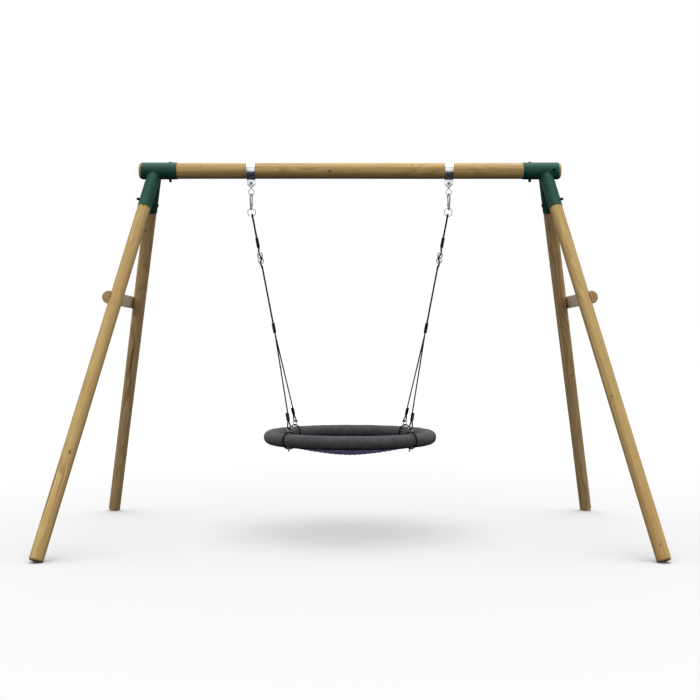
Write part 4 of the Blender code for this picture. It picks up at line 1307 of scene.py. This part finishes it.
def gate_pin(foot):
    """The rivet on which the gate turns, with a head at each end."""
    half = 0.0055
    head, edge = PIN_RADIUS * 1.6, PIN_RADIUS * 1.35
    profile = [(0.0, -half), (edge, -half), (head, -half + 0.0005), (PIN_RADIUS, -half + 0.0007)]
    profile += [(radius, -height) for radius, height in profile[::-1]]
    mesh = turned(profile, 24)
    mesh.transform(Matrix.Translation(foot) @ Matrix.Rotation(math.pi / 2, 4, "Y"))
    return mesh


def carabiners(look):
    foot, tip = gate_ends()
    for side in SIDES:
        place = Matrix.Translation((side * HANGER_X, 0, 0)) @ Matrix.Rotation(side * HOOK_YAW, 4, "Z")
        for node, ending, mesh in (
            ("carabiner", "body", carabiner_body(foot, tip)),
            ("carabiner_gate", "bar", carabiner_gate(foot, tip)),
            ("gate_pin", "rivet", gate_pin(foot)),
        ):
            mesh.transform(place)
            piece_of(f"{node}_{SIDE_NAME[side]}", ending, mesh, look)


# ---- rope fittings -------------------------------------------------------------------------------
def ferrule_mesh(start, end, across, deep, wide):
    """A crimped oval sleeve: rounded ends and shallow pressed rings."""
    start, end = Vector(start), Vector(end)
    along = (end - start).normalized()
    second = along.cross(across).normalized()
    across = second.cross(along).normalized()
    length = (end - start).length
    rows = 56
    sides = 36
    round_off = 0.0035
    verts = []
    for i in range(rows + 1):
        at = length * i / rows
        near = min(at, length - at)
        share = 1.0 if near > round_off else 1 - 0.28 * (1 - near / round_off) ** 2
        inner = min(max((near - 0.006) / 0.003, 0.0), 1.0)
        press = 0.055 * inner * (0.5 - 0.5 * math.cos(math.tau * (at - length / 2) / (length * 0.2)))
        for angle in angles(sides):
            reach = share - press
            spot = across * deep * reach * math.cos(angle) + second * wide * reach * math.sin(angle)
            verts.append(start + along * at + spot)
    return capped(verts, sides, [start + along * 0.0015, end - along * 0.0015], 40)


def adjuster_mesh(centre, down, out):
    """Two steel rings fused in one casting, with a soft blend where they meet."""
    meshes = []
    for way in (-1, 1):
        middle = centre + down * way * ADJUSTER_PITCH / 2
        across = down.cross(out).normalized()
        ring = [middle + (down * x + across * y) * ADJUSTER_RADIUS for x, y in circle(64)]
        meshes.append(swept(ring, ADJUSTER_WIRE, 18, closed=True))
    raw = bpy.data.objects.new("raw", joined(meshes))
    bpy.context.scene.collection.objects.link(raw)
    remesh = raw.modifiers.new("remesh", "REMESH")
    remesh.mode = "VOXEL"
    remesh.voxel_size = 0.0006
    smooth = raw.modifiers.new("smooth", "SMOOTH")
    smooth.factor = 0.5
    smooth.iterations = 8
    bpy.context.view_layer.update()
    mesh = bpy.data.meshes.new_from_object(raw.evaluated_get(bpy.context.evaluated_depsgraph_get()))
    bpy.data.objects.remove(raw)
    mesh.shade_smooth()
    return mesh


def rope_fittings(wire_look, sleeve_look, cast_look):
    """The rings, ferrules and adjusters of the rope sets."""
    for side in SIDES:
        label = SIDE_NAME[side]
        top, down = rope_line(side)
        centre = top_ring_centre(side)
        ring = [centre + (X * y + Z * x) * RING_RADIUS for x, y in circle(96)]
        mesh = swept(ring, RING_WIRE, 20, closed=True)
        piece_of(f"top_ring_{label}", "wire", mesh, wire_look)
        for node, (first, last), (deep, wide) in (
            ("top_ferrule", TOP_FERRULE, TOP_FERRULE_SIZE),
            ("split_ferrule", SPLIT_FERRULE, SPLIT_FERRULE_SIZE),
        ):
            mesh = ferrule_mesh(top + down * first, top + down * last, Y, deep, wide)
            piece_of(f"{node}_{label}", "sleeve", mesh, sleeve_look)
        mesh = adjuster_mesh(top + down * ADJUSTER_AT, down, weave_way(side, down))
        piece_of(f"rope_adjuster_{label}", "casting", mesh, cast_look)
    for side, front in CORNERS:
        centre, up, across, _ = lower_rope_line(side, front)
        first, last = (centre + up * at for at in LOWER_FERRULE)
        mesh = ferrule_mesh(first, last, across, *LOWER_FERRULE_SIZE)
        piece_of(f"lower_ferrule_{CORNER_NAME[side, front]}", "sleeve", mesh, sleeve_look)


# ---- nest ----------------------------------------------------------------------------------------
COVER_COLUMNS = 600
COVER_SECTION = 80
COVER_FULL = 0.0378  # the fabric's radius between the lashings
SEAM_PANELS = 8
HEM_BEND = math.pi + 0.75  # the closing hem lies low on the ring's inner side
LIP_REACH = 0.007  # how far the hem stands out
LIP_PRESSED = 0.0005
LIP_HALF = 0.0013
STITCH_PITCH = 0.0048
STITCH_GAP = 0.0012


def cover_point(turn, bend, radius):
    """A point of the ring's skin: turn round the nest, bend round the ring's section."""
    spread = NEST_RADIUS + radius * math.cos(bend)
    return Vector((spread * math.cos(turn), spread * math.sin(turn), NEST_Z + radius * math.sin(bend)))


def turn_gap(turn, places):
    """The distance along the ring to the nearest of some places."""
    return min(abs((turn - p + math.pi) % math.tau - math.pi) for p in places) * NEST_RADIUS


LASHING_TURNS = [math.atan2(front * NEST_HALF_Y, side * NEST_HALF_X) for side, front in CORNERS]
SEAM_TURNS = [math.tau * (k + 0.5) / SEAM_PANELS + math.pi / SEAM_PANELS for k in range(SEAM_PANELS)]


def near(distance, width):
    """1 at a place, falling smoothly to nothing beyond about twice the width."""
    return math.exp(-((distance / width) ** 2))


def cover_radius(turn, bend):
    """The padded skin: gathered under the lashings, drawn in at panel seams and at the closing hem."""
    lashing = turn_gap(turn, LASHING_TURNS)
    seam = turn_gap(turn, SEAM_TURNS)
    hem = abs(bend - HEM_BEND) * COVER_RADIUS
    folds = math.sin(bend * 13 + turn * 40)
    puckers = math.sin(turn * 190)
    slack = noise.noise(Vector((math.cos(turn) * 9, math.sin(turn) * 9, bend * 1.2)))
    crease = noise.noise(Vector((math.cos(turn) * 34, math.sin(turn) * 34, bend * 2.6 + 7)))
    inner = 0.5 - 0.5 * math.cos(bend)
    radius = COVER_FULL - 0.0016 * near(lashing, 0.010)
    radius += 0.0007 * near(lashing - 0.020, 0.016) * folds
    radius += 0.0004 * near(seam - 0.008, 0.006) - 0.0014 * near(seam, 0.0030)
    radius += 0.00055 * near(hem - 0.009, 0.008) * puckers - 0.0022 * near(hem, 0.006)
    return radius + 0.0011 * slack + 0.0008 * crease * (0.35 + 0.65 * inner)


def lip_reach(turn):
    """How far the hem stands out: it is pressed flat under the lashings."""
    free = 1 - near(turn_gap(turn, LASHING_TURNS), 0.014)
    return LIP_PRESSED + (LIP_REACH - LIP_PRESSED) * free


def lip_point(turn, out, across):
    """A point of the hem, out from the skin and across the hem's own thickness."""
    reach = COVER_FULL + out
    spread = NEST_RADIUS + reach * math.cos(HEM_BEND) - across * math.sin(HEM_BEND)
    height = NEST_Z + reach * math.sin(HEM_BEND) + across * math.cos(HEM_BEND)
    return Vector((spread * math.cos(turn), spread * math.sin(turn), height))


def ring_cover(look):
    """The padded skin with its closing hem, as one piece."""
    turns = angles(COVER_COLUMNS)
    bends = angles(COVER_SECTION)
    verts = [cover_point(turn, bend, cover_radius(turn, bend)) for turn in turns for bend in bends]
    faces = grid_faces(COVER_COLUMNS, COVER_SECTION, closed_rows=True)
    skin = mesh_from(verts, faces, 180)
    lip_verts = []
    for turn in turns:
        reach = lip_reach(turn)
        section = [(-0.003, 1.0), (reach * 0.8, 1.0), (reach, 0.5)]
        section = [(out, -across) for out, across in section] + section[::-1]
        lip_verts += [lip_point(turn, out, across * LIP_HALF) for out, across in section]
    lip = mesh_from(lip_verts, grid_faces(COVER_COLUMNS, 6, closed_rows=True), 50)
    mesh = joined([skin, lip])
    cover = piece("nest_cover_fabric", mesh, look, ["nest_cover", "nest_foam"])


def stitch(start, end, out, radius=0.00035):
    """One stitch: a thread that rises from the cloth and dives back."""
    middle = (start + end) / 2 + out * 0.0006
    rise = out * 0.0004
    line = [start - out * 0.0005, start * 0.75 + end * 0.25 + rise, middle]
    line += [start * 0.25 + end * 0.75 + rise, end - out * 0.0005]
    return swept([tuple(p) for p in line], radius, 6, tip=0.0)


def seam_stitches(pitch, gap):
    """A row of stitches on each side of every panel seam, with a break at the hem."""
    meshes = []
    for seam in SEAM_TURNS:
        for flank in (-1, 1):
            turn = seam + flank * 0.0055 / NEST_RADIUS
            count = round(math.tau * COVER_FULL / pitch)
            for k in range(count):
                a = math.tau * k / count
                b = a + (pitch - gap) / COVER_FULL
                if abs((a + b) / 2 - HEM_BEND) < 0.25:
                    continue
                first = cover_point(turn, a, cover_radius(turn, a))
                second = cover_point(turn, b, cover_radius(turn, b))
                middle = cover_point(turn, (a + b) / 2, 0.0)
                meshes.append(stitch(first, second, ((first + second) / 2 - middle).normalized()))
    return meshes


def hem_stitches(pitch, gap):
    """A row of stitches on each face of the hem, with a break at the lashings."""
    meshes = []
    inner = NEST_RADIUS - COVER_FULL
    count = round(math.tau * inner / pitch)
    for k in range(count):
        a = math.tau * k / count
        b = a + (pitch - gap) / inner
        if turn_gap(a, LASHING_TURNS) < 0.025:
            continue
        for face in (-1, 1):
            first, second, below = (
                lip_point(turn, LIP_REACH * 0.45, height)
                for turn, height in ((a, face * LIP_HALF), (b, face * LIP_HALF), (a, 0.0))
            )
            meshes.append(stitch(first, second, (first - below).normalized()))
    return meshes


def stitches(look):
    meshes = seam_stitches(STITCH_PITCH, STITCH_GAP) + hem_stitches(STITCH_PITCH, STITCH_GAP)
    piece("nest_cover_stitching", joined(meshes), look, body="nest")


NET_ROPE = 0.003
NET_LAY = 0.021
NET_SPACING = 0.040
NET_LIFT = 0.0026  # how far a rope rises or dips from the net's middle where it crosses another
RIM_ROPE = 0.003
LACING_ROPE = 0.00175
LACING_TURNS = 88
LACING_CENTRE = 0.4222  # the lacing winds round the rim rope and through the hem
LACING_HEIGHT = -0.031
LACING_RADIUS = 0.0085


def net_height(spread):
    """The height of the net's middle surface at a distance from the nest's axis."""
    share = min(spread / NET_RIM, 1.0)
    return NEST_Z - NET_DEPTH + NET_THICK / 2 + (NET_RIM_HEIGHT + NET_DEPTH) * share**NET_SAG_POWER


def net_ropes():
    """Two families of parallel ropes at right angles, woven over and under, inside the rim rope."""
    routes = []
    reach = NET_RIM - 0.003
    half_count = int(reach / NET_SPACING)
    for family in (0, 1):
        along = Matrix.Rotation(math.radians(45 + 90 * family), 3, "Z") @ X
        across = Z.cross(along)
        for index in range(-half_count, half_count + 1):
            offset = index * NET_SPACING
            if abs(offset) > reach - 0.01:
                continue
            half = math.sqrt(reach**2 - offset**2)
            count = max(6, round(2 * half / 0.005))
            points = []
            for k in range(count + 1):
                s = -half + 2 * half * k / count
                spot = across * offset + along * s
                over = math.cos(math.pi * s / NET_SPACING) * (1 if index % 2 else -1)
                over *= 1 if family else -1
                fade = min(1.0, (half - abs(s)) / 0.02)
                spot.z = net_height(spot.length) + over * NET_LIFT * fade
                points.append(spot)
            routes.append(points)
    return routes


def net(look, lacing_look):
    """The woven ropes with their rim rope, and the lacing that ties the rim to the hem."""
    meshes = []
    for route in net_ropes():
        line = resampled(route, 0.0042)
        meshes.append(swept(line, NET_ROPE, 12, shape=twisted(NET_ROPE, 3, NET_LAY), tip=0.001))
    height = NEST_Z + NET_RIM_HEIGHT + 0.004
    rim = [(NET_RIM * x, NET_RIM * y, height) for x, y in circle(720)]
    meshes.append(swept(rim, RIM_ROPE, 12, closed=True, shape=twisted(RIM_ROPE, 3, NET_LAY)))
    piece_of("nest_net", "ropes", joined(meshes), look)
    lacing = []
    count = LACING_TURNS * 16
    for k in range(count):
        angle = math.tau * k / count
        bend = math.tau * k / 16
        spread = LACING_CENTRE + LACING_RADIUS * math.cos(bend)
        height = NEST_Z + LACING_HEIGHT + LACING_RADIUS * math.sin(bend)
        lacing.append((spread * math.cos(angle), spread * math.sin(angle), height))
    line = resampled(lacing, 0.0022, closed=True)
    mesh = swept(line, LACING_ROPE, 8, closed=True)
    piece("nest_net_lacing", mesh, lacing_look, body="nest")


def lashing_route(radial, tangent, centre, loop_top):
    """One slanted turn round the padded ring and through the shackle, from a short tail."""
    loop_bottom = COVER_RADIUS + 0.0008 + LASHING_ROPE
    loop_radius = (loop_top + loop_bottom) / 2
    middle = centre + Z * (loop_top - loop_bottom) / 2
    half_pitch = LASHING_ROPE + 0.0008
    turns = 24
    points = []
    for k in range(turns + 1):
        angle = math.tau * k / turns
        slide = half_pitch * (2 * k / turns - 1)
        round_ring = radial * math.sin(angle) - Z * math.cos(angle)
        points.append(middle + round_ring * loop_radius + tangent * slide)
    tail = points[0] - tangent * 0.004 - Z * 0.014 + radial * -0.003
    return resampled([tail] + points, ROPE_STEP)


def lashings_and_shackles(rope_look, wire_look):
    """At each hanging point: the lashing round the ring, and the wire shackle it holds."""
    for side, front in CORNERS:
        label = CORNER_NAME[side, front]
        radial = corner_way(side, front)
        tangent = Z.cross(radial)
        centre = radial * NEST_RADIUS + Z * NEST_Z
        loop_top = COVER_RADIUS + 0.0005 + SHACKLE_WIRE + SHACKLE_BEND
        node = f"ring_lashing_{label}"
        route = lashing_route(radial, tangent, centre, loop_top)
        rope_piece(node, "rope", route, LASHING_ROPE, rope_look, tip=0.001)
        foot = centre + Z * loop_top
        top = HANG_Z - foot.z - SHACKLE_CORNER
        corners = [(-way * SHACKLE_SPREAD, top, SHACKLE_CORNER) for way in (-1, 1)]
        outline = belt([(0, 0, SHACKLE_BEND)] + corners, 0.3)
        route = resampled([foot + tangent * px + Z * pz for px, pz in outline], WIRE_STEP, closed=True)
        mesh = swept(route, SHACKLE_WIRE, 18, closed=True)
        piece_of(f"shackle_{label}", "wire", mesh, wire_look)


# ---- scene ---------------------------------------------------------------------------------------
make_camera()
rope_look = rope_material("black_rope_yarn", BLACK, (0.014, 0.014, 0.015), 0.02, 0.05)
ropes(rope_look)
make_studio()
bright_wire = zinc("bright_wire", (0.66, 0.67, 0.69), 0.24)
crossbeam()
legs()
side_rails()
green = green_paint()
brackets(green)
frame_fasteners(black_plastic("cap_plastic", 0.34), green)
rail_screws(zinc("screw_zinc", (0.60, 0.58, 0.52), 0.36))
strap_zinc = zinc("strap_zinc", (0.78, 0.79, 0.80), 0.30)
hangers(strap_zinc, bright_wire, zinc("dark_zinc", (0.20, 0.20, 0.21), 0.36))
carabiners(zinc("hook_zinc", (0.42, 0.43, 0.45), 0.28))
rope_fittings(bright_wire, black_plastic("sleeve_plastic", 0.48), zinc("cast_zinc", (0.45, 0.46, 0.47), 0.38))
ring_cover(ring_fabric("charcoal_fabric", (0.055, 0.055, 0.059), (0.115, 0.115, 0.122)))
stitches(thread_material())
net(
    rope_material("violet_rope_yarn", (0.075, 0.068, 0.165), (0.32, 0.30, 0.50), 0.25, NET_LAY),
    rope_material("lacing_yarn", BLACK, (0.02, 0.02, 0.022), 0.05, 0.03),
)
lashings_and_shackles(rope_look, bright_wire)
steel = zinc("tube_galvanised", (0.55, 0.56, 0.57), 0.4)
frame["nodes"]["nest_tube"].data.materials.clear()
frame["nodes"]["nest_tube"].data.materials.append(steel)
